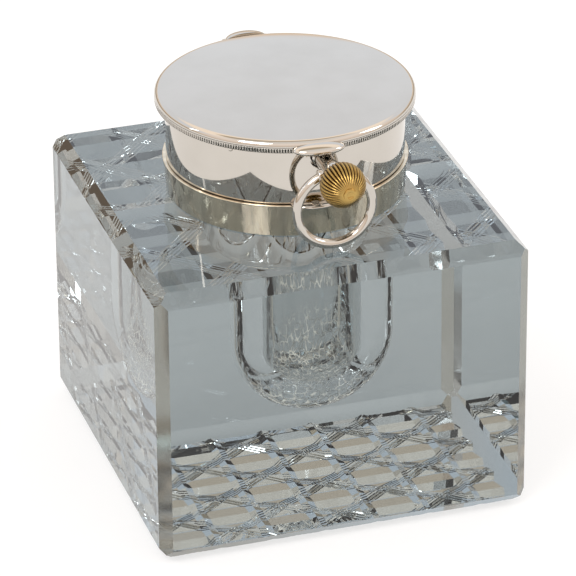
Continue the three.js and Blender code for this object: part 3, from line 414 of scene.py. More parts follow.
def combine(target, bm, operation):
    """Cut or join another closed mesh into the target."""
    tool = object_of(target.name + "_tool", bm)
    modifier = target.modifiers.new("combine", "BOOLEAN")
    modifier.operation = operation
    modifier.solver = "EXACT"
    modifier.object = tool
    graph = bpy.context.evaluated_depsgraph_get()
    mesh = bpy.data.meshes.new_from_object(target.evaluated_get(graph))
    target.modifiers.clear()
    target.data = mesh
    mesh.shade_smooth()
    mesh.set_sharp_from_angle(angle=math.radians(35))
    bpy.data.objects.remove(tool)
    return target


def dress(made, look, body, slot, *nodes):
    made.data.materials.clear()
    made.data.materials.append(look)
    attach(made, body)
    if nodes:
        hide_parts(*nodes)
    return made


def box_mesh(x0, x1, y0, y1, z0, z1, bevel=0.0):
    bm = bmesh.new()
    bmesh.ops.create_cube(bm, size=1)
    for vert in bm.verts:
        vert.co = Vector((
            x0 if vert.co.x < 0 else x1,
            y0 if vert.co.y < 0 else y1,
            z0 if vert.co.z < 0 else z1,
        ))
    if bevel:
        bmesh.ops.bevel(bm, geom=list(bm.edges), offset=bevel, segments=2, profile=0.5, affect="EDGES")
    return bm


def rod(radius, x0, x1, y, z, edge=0.15, segments=48):
    profile = soften([(0, x0), (radius, x0), (radius, x1), (0, x1)], edge)
    return spin(profile, segments, place=across(y, z))


def ellipsoid(half_x, half_y, half_z, centre, columns=64, rows=32):
    profile = []
    for k in range(rows + 1):
        angle = math.pi * k / rows
        profile.append((math.sin(angle), -math.cos(angle)))
    place = lambda r, h, angle: Vector(centre) + Vector((
        half_x * r * math.cos(angle), half_y * r * math.sin(angle), half_z * h,
    ))
    return spin(profile, columns, place=place)


def turned(bm, degrees):
    """Turn a mesh about the neck's axis."""
    centre = Vector((AXIS_X, AXIS_Y, 0))
    bmesh.ops.rotate(bm, cent=centre, matrix=Matrix.Rotation(math.radians(degrees), 3, "Z"), verts=bm.verts)
    return bm


# Glass block

BLOCK_WIDTH = high("glass_block").x - low("glass_block").x
BLOCK_DEPTH = high("glass_block").y - low("glass_block").y
BLOCK_TOP = low("collar").z - WALL_GAP
NECK_TOP = high("glass_block").z
TOP_CHAMFER = 2.8
CORNER_CHAMFER = 2.4
BASE_CHAMFER = 3.1
NECK_RADIUS = 24.2
WELL_RADIUS = 18.0
WELL_FLOOR = 18.5
WELL_FLOOR_RISE = 17.5
MOUTH_CHAMFER = 0.8
NECK_SEGMENTS = 128
NECK_EDGE = 0.4
WELL_STEPS = 24

# The block's faces that take another look: near the well's wall, and upright ones on a corner chamfer
WELL_WALL_BAND = 0.1
WELL_FLOOR_BAND = 1
UPRIGHT_LIMIT = 0.1

# The pattern cut into the underside: crossed bands lined with fine cuts, mitres between, and broad rows
PATTERN_PITCH = 11.66
PATTERN_X = 1.73
PATTERN_Y = -3.6
BAND_HALF_WIDTH = 2.6
BAND_DEPTH = 0.11
MITRE_HALF_WIDTH = 1.5
MITRE_DEPTH = 0.45
ROW_NEAR = 4.3
ROW_FAR = 6.9
ROW_DEPTH = 0.55
LINE_HALF_WIDTH = 0.3
LINE_DEPTH = 0.1
BAND_LINE_SHARES = (-1, -0.5, 0, 0.5, 1)


def pattern_lines():
    """Each cut as (normal, offset of its crease, near width, far width, depth), along its normal."""
    reach = int((BLOCK_WIDTH + BLOCK_DEPTH) / PATTERN_PITCH / 2) + 1
    cuts = []
    for k in range(-reach, reach + 1):
        shift = k * PATTERN_PITCH
        mitre = PATTERN_X + PATTERN_PITCH / 2 + shift
        crease = PATTERN_Y + shift - (ROW_FAR - ROW_NEAR) / 2
        cuts.append(((1, 0), mitre, MITRE_HALF_WIDTH, MITRE_HALF_WIDTH, MITRE_DEPTH))
        cuts.append(((0, 1), crease, ROW_NEAR, ROW_FAR, ROW_DEPTH))
        for normal, middle in (((-1, 1), PATTERN_Y - PATTERN_X), ((1, 1), PATTERN_Y + PATTERN_X)):
            centre = middle + shift * 2
            cuts.append((normal, centre, BAND_HALF_WIDTH, BAND_HALF_WIDTH, BAND_DEPTH))
            for share in BAND_LINE_SHARES:
                crease = centre + share * BAND_HALF_WIDTH
                cuts.append((normal, crease, LINE_HALF_WIDTH, LINE_HALF_WIDTH, LINE_DEPTH))
    return cuts


def bevel_planes():
    """The planes that cut the edges of the block: (point, outward normal)."""
    x, y = BLOCK_WIDTH / 2, BLOCK_DEPTH / 2
    planes = []
    for sx in (-1, 1):
        planes.append(((sx * x, 0, BLOCK_TOP - TOP_CHAMFER), (sx, 0, 1)))
        planes.append(((sx * x, 0, BASE_CHAMFER), (sx, 0, -1)))
        for sy in (-1, 1):
            planes.append(((sx * x, sy * (y - CORNER_CHAMFER), 0), (sx, sy, 0)))
    for sy in (-1, 1):
        planes.append(((0, sy * y, BLOCK_TOP - TOP_CHAMFER), (0, sy, 1)))
        planes.append(((0, sy * y, BASE_CHAMFER), (0, sy, -1)))
    return planes


def glass_block():
    x, y = BLOCK_WIDTH / 2, BLOCK_DEPTH / 2
    bm = box_mesh(-x, x, -y, y, 0, BLOCK_TOP)
    for point, normal in bevel_planes():
        cut = bmesh.ops.bisect_plane(
            bm, geom=bm.verts[:] + bm.edges[:] + bm.faces[:], dist=1e-5,
            plane_co=point, plane_no=Vector(normal).normalized(), clear_outer=True,
        )
        edges = [g for g in cut["geom_cut"] if isinstance(g, bmesh.types.BMEdge)]
        bmesh.ops.contextual_create(bm, geom=edges)
    # The underside is split along every crease of the pattern, then its points rise by the cuts' depths
    cuts = pattern_lines()
    half_x, half_y = x - BASE_CHAMFER, y - BASE_CHAMFER
    for normal, offset, near, far, _ in cuts:
        length = math.hypot(*normal)
        for step in (-near, 0, far):
            distance = (offset + step) / length
            plane_no = Vector((normal[0] / length, normal[1] / length, 0))
            if abs(distance) > abs(plane_no.x) * half_x + abs(plane_no.y) * half_y:
                continue
            faces = [f for f in bm.faces if all(abs(v.co.z) < 1e-5 for v in f.verts)]
            edges = list({e for f in faces for e in f.edges})
            points = list({v for f in faces for v in f.verts})
            bmesh.ops.bisect_plane(
                bm, geom=faces + edges + points, dist=1e-4, plane_co=plane_no * distance, plane_no=plane_no,
            )
    for vert in [v for v in bm.verts if abs(v.co.z) < 1e-5]:
        rise = 0
        for normal, offset, near, far, depth in cuts:
            away = normal[0] * vert.co.x + normal[1] * vert.co.y - offset
            rise += depth * max(0, 1 - (away / far if away > 0 else -away / near))
        if abs(abs(vert.co.x) - half_x) < 1e-3:
            vert.co.x += math.copysign(rise, vert.co.x)
        if abs(abs(vert.co.y) - half_y) < 1e-3:
            vert.co.y += math.copysign(rise, vert.co.y)
        vert.co.z = rise
    # The neck and the well grow out of a round hole in the top face
    top = next(f for f in bm.faces if all(abs(v.co.z - BLOCK_TOP) < 1e-5 for v in f.verts))
    rim_edges = list(top.edges)
    bmesh.ops.delete(bm, geom=[top], context="FACES_ONLY")
    profile = [(NECK_RADIUS, BLOCK_TOP)]
    neck = [(NECK_RADIUS, BLOCK_TOP), (NECK_RADIUS, NECK_TOP), (WELL_RADIUS, NECK_TOP)]
    profile += soften(neck, NECK_EDGE)[1:-1]
    profile += [(WELL_RADIUS + MOUTH_CHAMFER, NECK_TOP), (WELL_RADIUS, NECK_TOP - MOUTH_CHAMFER)]
    for k in range(WELL_STEPS + 1):
        angle = math.pi / 2 * (1 - k / WELL_STEPS)
        rise = WELL_FLOOR_RISE * (1 - math.cos(angle))
        profile.append((WELL_RADIUS * math.sin(angle), WELL_FLOOR + rise))
    rings = []
    for r, h in profile[:-1]:
        rings.append([bm.verts.new(upright(r, h, TAU * i / NECK_SEGMENTS)) for i in range(NECK_SEGMENTS)])
    last = bm.verts.new(upright(0, WELL_FLOOR, 0))
    first_edges = []
    for i in range(NECK_SEGMENTS):
        j = (i + 1) % NECK_SEGMENTS
        first_edges.append(bm.edges.new((rings[0][i], rings[0][j])))
        for a, b in zip(rings, rings[1:]):
            bm.faces.new((a[i], a[j], b[j], b[i]))
        bm.faces.new((rings[-1][i], rings[-1][j], last))
    bmesh.ops.triangle_fill(bm, edges=rim_edges + first_edges, use_beauty=True, normal=(0, 0, 1))
    bmesh.ops.recalc_face_normals(bm, faces=bm.faces)
    made = object_of("cut_glass_block", bm, sharp_deg=20)
    for polygon in made.data.polygons:
        polygon.use_smooth = polygon.center.z > BASE_CHAMFER * MM
    dress(made, glass, "base", "glass", "glass_block")
    made.data.materials.append(well_glass)
    made.data.materials.append(corner_glass)
    for polygon in made.data.polygons:
        centre = polygon.center / MM
        inside = math.hypot(centre.x - AXIS_X, centre.y - AXIS_Y) < WELL_RADIUS + WELL_WALL_BAND
        on_corner = abs(centre.x) > x - CORNER_CHAMFER and abs(centre.y) > y - CORNER_CHAMFER
        if inside and centre.z > WELL_FLOOR - WELL_FLOOR_BAND:
            polygon.material_index = 1
        elif on_corner and abs(polygon.normal.z) < UPRIGHT_LIMIT:
            polygon.material_index = 2


glass_block()


# Collar and lid

COLLAR_WALL = 0.7
COLLAR_FLARE = 0.6
BEAD_REACH = 0.1
BEAD_FOOT = 0.32
BEAD_LOW = 0.25
BEAD_HIGH = 0.08
SHEET_EDGE = 0.12
LIP_THICKNESS = 0.65
COLLAR_RADIUS = radius_of("collar") - BEAD_REACH
COLLAR_BORE = COLLAR_RADIUS - COLLAR_FLARE - COLLAR_WALL
COLLAR_GAP = 0.3
LIP_BORE = radius_of("well_seal_ring") + COLLAR_GAP


def collar():
    foot, top = low("collar").z, high("collar").z
    lip = top - LIP_THICKNESS
    outline = [
        (COLLAR_BORE, foot),
        (COLLAR_RADIUS - COLLAR_FLARE, foot),
        (COLLAR_RADIUS, top - BEAD_FOOT),
        (COLLAR_RADIUS + BEAD_REACH, top - BEAD_LOW),
        (COLLAR_RADIUS + BEAD_REACH, top - BEAD_HIGH),
        (COLLAR_RADIUS, top),
        (LIP_BORE, top),
        (LIP_BORE, lip),
        (COLLAR_BORE, lip),
    ]
    bm = spin(soften(outline, SHEET_EDGE, closed=True), COLLAR_SEGMENTS, closed=True)
    dress(object_of("collar_band", bm), collar_silver_painted_streaks, "base", "silver", "collar")


collar()

DRUM_RADIUS = radius_of("lid_drum")
DRUM_WALL = 0.7
DRUM_EDGE = 0.14
SLOT_HALF_WIDTH = 2.65


def lid_drum():
    foot, top = low("lid_drum").z, high("lid_drum").z
    bore = DRUM_RADIUS - DRUM_WALL
    outline = [(bore, foot), (DRUM_RADIUS, foot), (DRUM_RADIUS, top), (bore, top)]
    bm = spin(soften(outline, DRUM_EDGE, closed=True), LID_SEGMENTS, closed=True)
    made = object_of("lid_wall", bm)
    start, end = bore - OVERRUN, DRUM_RADIUS + OVERRUN
    hole = [(0, start), (SLOT_HALF_WIDTH, start), (SLOT_HALF_WIDTH, end), (0, end)]
    combine(made, spin(hole, PENDANT_SEGMENTS, place=forward), "DIFFERENCE")
    slot = box_mesh(
        AXIS_X - SLOT_HALF_WIDTH, AXIS_X + SLOT_HALF_WIDTH,
        AXIS_Y - end, AXIS_Y - start, PENDANT_Z, top + OVERRUN,
    )
    combine(made, slot, "DIFFERENCE")
    dress(made, silver, "lid", "silver", "lid_drum")


lid_drum()

FLOOR_SHEET = 0.6
FLOOR_FOOT_INSET = 0.8
FLOOR_SLOPE = 2.8
FLOOR_EDGE = 0.5
SEAL_WALL = 0.7
SEAL_EDGE = 0.18


def lid_floor():
    outer = radius_of("lid_floor")
    z0, z1 = low("lid_floor").z, high("lid_floor").z
    foot = radius_of("well_seal_ring") - FLOOR_FOOT_INSET
    shelf = foot - FLOOR_SLOPE
    outline = [
        (0, z1 - FLOOR_SHEET), (shelf, z1 - FLOOR_SHEET), (foot, z0), (outer, z0), (outer, z0 + FLOOR_SHEET),
        (foot + FLOOR_SHEET / 2, z0 + FLOOR_SHEET), (shelf + FLOOR_SHEET / 2, z1), (0, z1),
    ]
    made = object_of("lid_inner_floor", spin(soften(outline, FLOOR_EDGE), FLAT_SEGMENTS))
    dress(made, silver, "lid", "silver", "lid_floor")


lid_floor()


def seal_ring():
    outer = radius_of("well_seal_ring")
    z0, z1 = low("well_seal_ring").z, high("well_seal_ring").z
    outline = [(outer - SEAL_WALL, z0), (outer, z0), (outer, z1), (outer - SEAL_WALL, z1)]
    bm = spin(soften(outline, SEAL_EDGE, closed=True), FLAT_SEGMENTS, closed=True)
    dress(object_of("well_closing_ring", bm), silver, "lid", "silver", "well_seal_ring")


seal_ring()

THUMB_TURN = -3
LID_THUMB_HALF_WIDTH = 5.5
LID_THUMB_HALF_HEIGHT = 0.98
COVER_THUMB_HALF_WIDTH = 5.65
COVER_THUMB_HALF_HEIGHT = 1.28
COVER_THUMB_RISE = 0.9
COVER_THUMB_SWEEP = 5


def thumb(name, node, half_x, half_z, centre_z, wall_radius, clear_below, body):
    """A lens that stands out of a round wall, cut away inside a radius below a height."""
    reach = AXIS_Y - low(node).y - wall_radius
    bm = ellipsoid(half_x, reach, half_z, (AXIS_X, AXIS_Y - wall_radius, centre_z))
    made = object_of(name, turned(bm, THUMB_TURN))
    top = centre_z + half_z + OVERRUN / 2
    wall = wall_radius + WALL_GAP
    combine(made, spin([(0, 0), (wall, 0), (wall, top), (0, top)], LID_SEGMENTS), "DIFFERENCE")
    below_radius, below_z = clear_below
    cutter = [(0, 0), (below_radius, 0), (below_radius, below_z), (0, below_z)]
    combine(made, spin(cutter, LID_SEGMENTS), "DIFFERENCE")
    dress(made, silver, body, "silver", node)


DRUM_FOOT = low("lid_drum").z
RIM_Z = low("cover_reeded_rim").z
COVER_RADIUS = radius_of("cover_plate")
thumb(
    "lid_thumb_lens", "lid_thumbpiece", LID_THUMB_HALF_WIDTH, LID_THUMB_HALF_HEIGHT, DRUM_FOOT,
    DRUM_RADIUS, (radius_of("collar") + COLLAR_GAP, DRUM_FOOT), "lid",
)
thumb(
    "cover_thumb_lens", "cover_thumbpiece", COVER_THUMB_HALF_WIDTH, COVER_THUMB_HALF_HEIGHT,
    RIM_Z + COVER_THUMB_RISE, COVER_RADIUS, (COVER_RADIUS + COVER_THUMB_SWEEP, RIM_Z), "cover",
)


# Hinges

KNUCKLE_EDGE = 0.12
LEAF_INSET = 0.02
LEAF_END = 0.2
COLLAR_LEAF_DROP = 0.5
LID_LEAF_RISE = 0.6
COVER_LEAF_THICKNESS = 1
PIN_PLAY = 0.06
BORE_EDGE = 0.01
WIRE_EDGE = 0.2
LID_AXIS_DROP = 0.1
COVER_AXIS_RISE = 0.45
LID_KNUCKLE_RADIUS = 1.2
COVER_KNUCKLE_RADIUS = 1.0
LID_AXIS_Y = high("lid_knuckle").y - LID_KNUCKLE_RADIUS
LID_AXIS_Z = DRUM_FOOT - LID_AXIS_DROP
LID_PIN = 0.55
COVER_AXIS_Y = high("cover_knuckle").y - COVER_KNUCKLE_RADIUS
COVER_AXIS_Z = RIM_Z + COVER_AXIS_RISE
COVER_PIN = 0.45

# Each hinge as (knuckle radius, pin radius, axis y, axis z)
LID_HINGE = (LID_KNUCKLE_RADIUS, LID_PIN, LID_AXIS_Y, LID_AXIS_Z)
COVER_HINGE = (COVER_KNUCKLE_RADIUS, COVER_PIN, COVER_AXIS_Y, COVER_AXIS_Z)


def span_of(node):
    return low(node).x, high(node).x


def knuckle(name, node, hinge, leaf, wall, body):
    """A rolled barrel with a leaf that runs to the wall, bored for its pin."""
    radius, pin, axis_y, axis_z = hinge
    x0, x1 = span_of(node)
    made = object_of(name, rod(radius, x0, x1, axis_y, axis_z, KNUCKLE_EDGE))
    y0, y1, z0, z1 = leaf
    leaf_mesh = box_mesh(x0 + LEAF_INSET, x1 - LEAF_INSET, y0, y1, z0, z1, KNUCKLE_EDGE)
    combine(made, leaf_mesh, "UNION")
    wall_radius, wall_low, wall_high = wall
    cutter = [(0, wall_low), (wall_radius, wall_low), (wall_radius, wall_high), (0, wall_high)]
    combine(made, spin(cutter, COLLAR_SEGMENTS), "DIFFERENCE")
    bore = rod(pin + PIN_PLAY, x0 - OVERRUN, x1 + OVERRUN, axis_y, axis_z, BORE_EDGE, SMALL_SEGMENTS)
    combine(made, bore, "DIFFERENCE")
    dress(made, silver, body, "silver", node)


for side in ("left", "right"):
    node = "collar_knuckle_" + side
    leaf = (low(node).y, LID_AXIS_Y - LEAF_END, low(node).z, LID_AXIS_Z - COLLAR_LEAF_DROP)
    wall = (COLLAR_RADIUS + BEAD_REACH + WALL_GAP, 0, LID_AXIS_Z + OVERRUN)
    knuckle("lid_hinge_barrel_" + side, node, LID_HINGE, leaf, wall, "base")
    node = "drum_cover_knuckle_" + side
    leaf = (low(node).y, COVER_AXIS_Y, low(node).z, low(node).z + COVER_LEAF_THICKNESS)
    wall = (DRUM_RADIUS + WALL_GAP, 0, high("lid_drum").z + OVERRUN)
    knuckle("cover_hinge_barrel_" + side, node, COVER_HINGE, leaf, wall, "lid")
node = "lid_knuckle"
leaf = (low(node).y, LID_AXIS_Y - LEAF_END, LID_AXIS_Z + LID_LEAF_RISE, high(node).z)
wall = (DRUM_RADIUS + WALL_GAP, 0, high("lid_drum").z)
knuckle("lid_hinge_middle_barrel", node, LID_HINGE, leaf, wall, "lid")
node = "cover_knuckle"
leaf = (low(node).y, COVER_AXIS_Y, RIM_Z, RIM_Z + COVER_LEAF_THICKNESS)
wall = (COVER_RADIUS + WALL_GAP, 0, high("cover_reeded_rim").z + WALL_GAP)
knuckle("cover_hinge_middle_barrel", node, COVER_HINGE, leaf, wall, "cover")
for name, node, radius, y, z, body in (
    ("lid_hinge_wire", "lid_hinge_pin", LID_PIN, LID_AXIS_Y, LID_AXIS_Z, "base"),
    ("cover_hinge_wire", "cover_hinge_pin", COVER_PIN, COVER_AXIS_Y, COVER_AXIS_Z, "lid"),
):
    made = object_of(name, rod(radius, *span_of(node), y, z, WIRE_EDGE))
    dress(made, steel, body, "steel", node)


# Cover

COVER_SHOULDER_REACH = 1.3
COVER_SHOULDER_RISE = 1.25
COVER_SHEET = 0.6
COVER_DOME_SHARE = 0.62
COVER_EDGE_RISE = 1
COVER_EDGE_SHARE = 0.9
SHOULDER_STEPS = 8
DOME_STEPS = 16


def cover_plate():
    foot, apex = low("cover_plate").z, high("cover_plate").z
    shoulder = foot + COVER_SHOULDER_RISE
    flat = COVER_RADIUS - COVER_SHOULDER_REACH
    dome = (apex - shoulder) * COVER_DOME_SHARE
    outer = []
    for k in range(SHOULDER_STEPS + 1):
        angle = math.pi / 2 * k / SHOULDER_STEPS
        outer.append((
            flat + COVER_SHOULDER_REACH * math.cos(angle),
            foot + COVER_SHOULDER_RISE * math.sin(angle),
        ))
    for k in range(1, DOME_STEPS + 1):
        share = 1 - k / DOME_STEPS
        outer.append((flat * share, shoulder + dome * (1 - share * share)))
    inner = []
    for r, z in outer:
        if z > foot + COVER_EDGE_RISE:
            inner.append((r - COVER_SHEET if r > flat * COVER_EDGE_SHARE else r, z - COVER_SHEET))
    profile = list(reversed(inner)) + [(COVER_RADIUS - COVER_SHEET, foot)] + outer
    made = object_of("cover_dome", spin(profile, LID_SEGMENTS))
    dress(made, silver, "cover", "silver", "cover_plate")


cover_plate()

REEDS = 300
REED_DEPTH = 0.16
REED_SHARE = 0.8
REED_END = 0.1
REED_SEGMENTS = 4
RIM_WIDTH = 2.7
RIM_FOOT_INSET = 0.35
RIM_BEVEL_INSET = 0.08
RIM_BEVEL_LOW = 0.1
RIM_BEVEL_HIGH = 0.28


def reeded_rim():
    """A coin edge: close upright reeds all the way round the lower rim."""
    z0, z1 = low("cover_reeded_rim").z, high("cover_reeded_rim").z
    inner = COVER_RADIUS - RIM_WIDTH
    reed_top = z0 + (z1 - z0) * REED_SHARE
    profile = [
        (inner, z0),
        (COVER_RADIUS - RIM_FOOT_INSET, z0),
        (COVER_RADIUS - RIM_BEVEL_INSET, z0 + RIM_BEVEL_LOW),
        (COVER_RADIUS, z0 + RIM_BEVEL_HIGH),
        (COVER_RADIUS, reed_top - REED_END),
        (COVER_RADIUS, reed_top),
        (COVER_RADIUS, z1),
        (inner, z1),
    ]
    reeded = {2, 3, 4}

    def change(k, r, angle):
        if k not in reeded:
            return 0, 0
        # The reed valleys darken with their depth: partly tarnish, partly painted shade
        depth = (0.5 - 0.5 * math.cos(angle * REEDS)) ** 2
        return REED_DEPTH * depth, depth

    bm = spin(profile, REEDS * REED_SEGMENTS, closed=True, change=change)
    dress(object_of("cover_coin_edge", bm, sharp_deg=50), silver, "cover", "silver", "cover_reeded_rim")


reeded_rim()

# How far the box that takes the lug's lower half away reaches
LUG_CUT_SIDE = 9
LUG_CUT_BACK = 60


def hinge_lug():
    node = "cover_hinge_lug"
    z = low(node).z
    half_x = (high(node).x - low(node).x) / 2
    reach = high(node).y - AXIS_Y - COVER_RADIUS
    bm = ellipsoid(half_x, reach, high(node).z - z, (AXIS_X, AXIS_Y + COVER_RADIUS, z))
    made = object_of("cover_back_lug", bm)
    top = high(node).z + OVERRUN / 2
    wall = COVER_RADIUS + WALL_GAP
    combine(made, spin([(0, 0), (wall, 0), (wall, top), (0, top)], LID_SEGMENTS), "DIFFERENCE")
    lower_half = box_mesh(
        AXIS_X - LUG_CUT_SIDE, AXIS_X + LUG_CUT_SIDE, 0, AXIS_Y + LUG_CUT_BACK, z - LUG_CUT_SIDE, z,
    )
    combine(made, lower_half, "DIFFERENCE")
    dress(made, silver, "cover", "silver", node)


hinge_lug()

NIB_EDGE = 0.25


def catch_nib():
    foot, top = corners("cover_catch_nib")
    centre = (foot + top) / 2
    radius = (top.x - foot.x) / 2
    place = lambda r, h, angle: Vector((centre.x + r * math.cos(angle), centre.y + r * math.sin(angle), h))
    profile = soften([(0, foot.z), (radius, foot.z), (radius, top.z), (0, top.z)], NIB_EDGE)
    made = object_of("cover_nib", spin(profile, SMALL_SEGMENTS, place=place))
    dress(made, silver, "cover", "silver", "cover_catch_nib")


catch_nib()


# Watch

PENDANT_BORE = 1.1
PENDANT_WAIST = 0.4
PENDANT_TAPER_END = 0.5
PENDANT_WAIST_END = 5.1
PENDANT_HEAD = 5.6
PENDANT_END_BEVEL = 0.2
PENDANT_EDGE = 0.3
BOW_BORE = 0.56
BOW_BORE_REACH = 5


def pendant():
    node = "pendant"
    start = AXIS_Y - high(node).y
    end = AXIS_Y - low(node).y
    radius = radius_of(node)
    waist = radius - PENDANT_WAIST
    neck = DRUM_RADIUS + WALL_GAP
    outline = [
        (PENDANT_BORE, start),
        (radius, start),
        (radius, neck),
        (waist, neck + PENDANT_TAPER_END),
        (waist, neck + PENDANT_WAIST_END),
        (radius, neck + PENDANT_HEAD),
        (radius, end - PENDANT_END_BEVEL),
        (radius - PENDANT_END_BEVEL, end),
        (PENDANT_BORE, end),
    ]
    rounded = soften(outline, PENDANT_EDGE, 4, closed=True)
    bm = spin(rounded, PENDANT_SEGMENTS, closed=True, place=forward)
    made = object_of("watch_pendant", bm)
    bow_y = (low("bow").y + high("bow").y) / 2
    reach = BOW_BORE_REACH
    bore = rod(BOW_BORE, AXIS_X - reach, AXIS_X + reach, bow_y, PENDANT_Z, BORE_EDGE, SMALL_SEGMENTS)
    combine(made, bore, "DIFFERENCE")
    dress(made, silver, "lid", "silver", node)


pendant()

CROWN_FLUTES = 36
CROWN_FLUTE_DEPTH = 0.42
CROWN_FLUTE_SEGMENTS = 10
CROWN_ROWS = 26
CROWN_BALL = 4.83
CROWN_BORE = 0.78
CROWN_BORE_DEPTH = 4
BOSS_RADIUS = 1.4
BOSS_HEIGHT = 0.25

# The boss's rounded edge and its sunk middle: how far each point lies inside its radius and behind its end
BOSS_POINTS = ((0.05, 0.12), (0.2, 0), (0.5, 0), (0.7, 0.12), (0.85, 0.22))

# How fast the flutes deepen from the foot and towards the boss, and how wide the darkening of their bottoms
# spreads, partly grime and partly painted shade
FLUTE_FOOT_RATE = 9
FLUTE_END_RATE = 7
GRIME_AND_SHADE_SPREAD = 1.5


def crown():
    """An onion crown: close rounded lobes that run from the foot to a small boss at its end."""
    node = "crown"
    start = AXIS_Y - high(node).y
    end = AXIS_Y - low(node).y
    centre = end - BOSS_HEIGHT - CROWN_BALL
    end_angle = math.asin(BOSS_RADIUS / CROWN_BALL)
    start_angle = math.pi - math.acos((centre - start) / CROWN_BALL)
    bottom = start + CROWN_BORE_DEPTH
    profile = [(0, bottom), (CROWN_BORE, bottom), (CROWN_BORE, start)]
    fluted = {}
    for k in range(CROWN_ROWS + 1):
        share = k / CROWN_ROWS
        angle = start_angle + (end_angle - start_angle) * share
        fluted[len(profile)] = min(1, share * FLUTE_FOOT_RATE, (1 - share) * FLUTE_END_RATE)
        profile.append((CROWN_BALL * math.sin(angle), centre + CROWN_BALL * math.cos(angle)))
    profile += [(BOSS_RADIUS - inset, end - back) for inset, back in BOSS_POINTS]
    profile.append((0, end - BOSS_HEIGHT))

    def change(k, r, angle):
        share = fluted.get(k)
        if share is None:
            return 0, 0
        valley = 1 - abs(math.cos(angle * CROWN_FLUTES / 2))
        size = r / CROWN_BALL
        # The second value darkens the flute bottoms: partly grime, partly painted shade
        return CROWN_FLUTE_DEPTH * share * valley * size, min(1, valley * GRIME_AND_SHADE_SPREAD) * share

    bm = spin(profile, CROWN_FLUTES * CROWN_FLUTE_SEGMENTS, place=forward, change=change)
    dress(object_of("fluted_crown", bm, sharp_deg=40), gilt, "crown", "gilt", node)


crown()

BOW_RADIUS = 8.2
BOW_WIRE = 1.05
BOW_STEPS = 120
BOW_SIDES = 20
EYE_NEAR = 2.6
EYE_WIDTH = 1.1
EYE_RADIUS = 1.35
EYE_EDGE = 0.3
PIVOT_RADIUS = 0.5
PIVOT_TIP = 1.4
PIVOT_ROOT = 0.2
PIVOT_EDGE = 0.1


def bow():
    """A round wire ring whose flattened eyes grip the pendant."""
    node = "bow"
    y = (low(node).y + high(node).y) / 2
    centre_z = low(node).z + BOW_WIRE + BOW_RADIUS
    gap = math.asin((EYE_NEAR + EYE_WIDTH / 2) / BOW_RADIUS)
    bm = bmesh.new()
    rows = []
    for i in range(BOW_STEPS + 1):
        angle = gap + (math.pi - gap) * 2 * i / BOW_STEPS
        out = Vector((math.sin(angle), 0, math.cos(angle)))
        centre = Vector((AXIS_X, y, centre_z)) + out * BOW_RADIUS
        row = []
        for k in range(BOW_SIDES):
            turn = TAU * k / BOW_SIDES
            around = out * BOW_WIRE * math.cos(turn) + Vector((0, BOW_WIRE * math.sin(turn), 0))
            row.append(bm.verts.new(centre + around))
        rows.append(row)
    for a, b in zip(rows, rows[1:]):
        for k in range(BOW_SIDES):
            j = (k + 1) % BOW_SIDES
            bm.faces.new((a[k], a[j], b[j], b[k]))
    bm.faces.new(rows[0])
    bm.faces.new(list(reversed(rows[-1])))
    bmesh.ops.recalc_face_normals(bm, faces=bm.faces)
    made = object_of("watch_bow", bm)
    for side in (-1, 1):
        near, far = AXIS_X + side * EYE_NEAR, AXIS_X + side * (EYE_NEAR + EYE_WIDTH)
        combine(made, rod(EYE_RADIUS, min(near, far), max(near, far), y, PENDANT_Z, EYE_EDGE), "UNION")
        tip, root = AXIS_X + side * PIVOT_TIP, far - side * PIVOT_ROOT
        combine(made, rod(PIVOT_RADIUS, min(tip, root), max(tip, root), y, PENDANT_Z, PIVOT_EDGE), "UNION")
    dress(made, silver, "bow", "silver", node)


bow()

BEZEL_WIDTH = 3.1
BEZEL_EDGE = 0.2

# The bezel's section: how far each point lies inside the outer edge, and above the foot or below the top
BEZEL_FOOT = ((0, 0), (0, 0.35), (0.25, 0.6))
BEZEL_HEAD = ((1.2, 0.1), (1.7, 0), (2.8, 0), (BEZEL_WIDTH, 0.25))


def bezel():
    node = "watch_bezel"
    z0, z1 = low(node).z, high(node).z
    outer = radius_of(node)
    outline = [(outer - BEZEL_WIDTH, z0)]
    outline += [(outer - inset, z0 + rise) for inset, rise in BEZEL_FOOT]
    outline += [(outer - inset, z1 - drop) for inset, drop in BEZEL_HEAD]
    bm = spin(soften(outline, BEZEL_EDGE, closed=True), COLLAR_SEGMENTS, closed=True)
    dress(object_of("watch_bezel_ring", bm), silver, "lid", "silver", node)


bezel()

CRYSTAL_THICKNESS = 0.6


def crystal():
    node = "watch_crystal"
    z0, z1 = low(node).z, high(node).z
    radius = radius_of(node)
    dome = z1 - z0 - CRYSTAL_THICKNESS
    under, over = [], []
    for k in range(DOME_STEPS + 1):
        share = k / DOME_STEPS
        rise = dome * (1 - share * share)
        under.append((radius * share, z0 + rise))
        over.insert(0, (radius * share, z0 + CRYSTAL_THICKNESS + rise))
    made = object_of("watch_crystal_dome", spin(under + over, FLAT_SEGMENTS))
    dress(made, crystal_glass, "lid", "crystal", node)


crystal()

DIAL_RADIUS = radius_of("watch_dial")
DIAL_TOP = high("watch_dial").z
DIAL_HOLE = 1.6
DIAL_EDGE = 0.05
DIAL_BEVEL = 0.2
SECONDS_REACH = 10.5
SECONDS_SUNK = 0.1
SECONDS_RECESS = 5.6
SECONDS_RECESS_TOP = 5.7
SECONDS_HOLE = 0.6
PAINT = 0.02
MINUTE_TRACK = (19.0, 20.2)
SECONDS_TRACK = (4.3, 5.3)
HOUR_MARK = 0.35
MINUTE_MARK = 0.14
SECONDS_MARK = 0.18
NUMBER_SIZE = 5.2
NUMBER_REACH = 15.6


def on_dial(centre, reach, minutes):
    """A place on the dial: twelve is at the front, by the pendant."""
    angle = TAU * minutes / 60
    return Vector((centre[0] - reach * math.sin(angle), centre[1] - reach * math.cos(angle), DIAL_TOP))


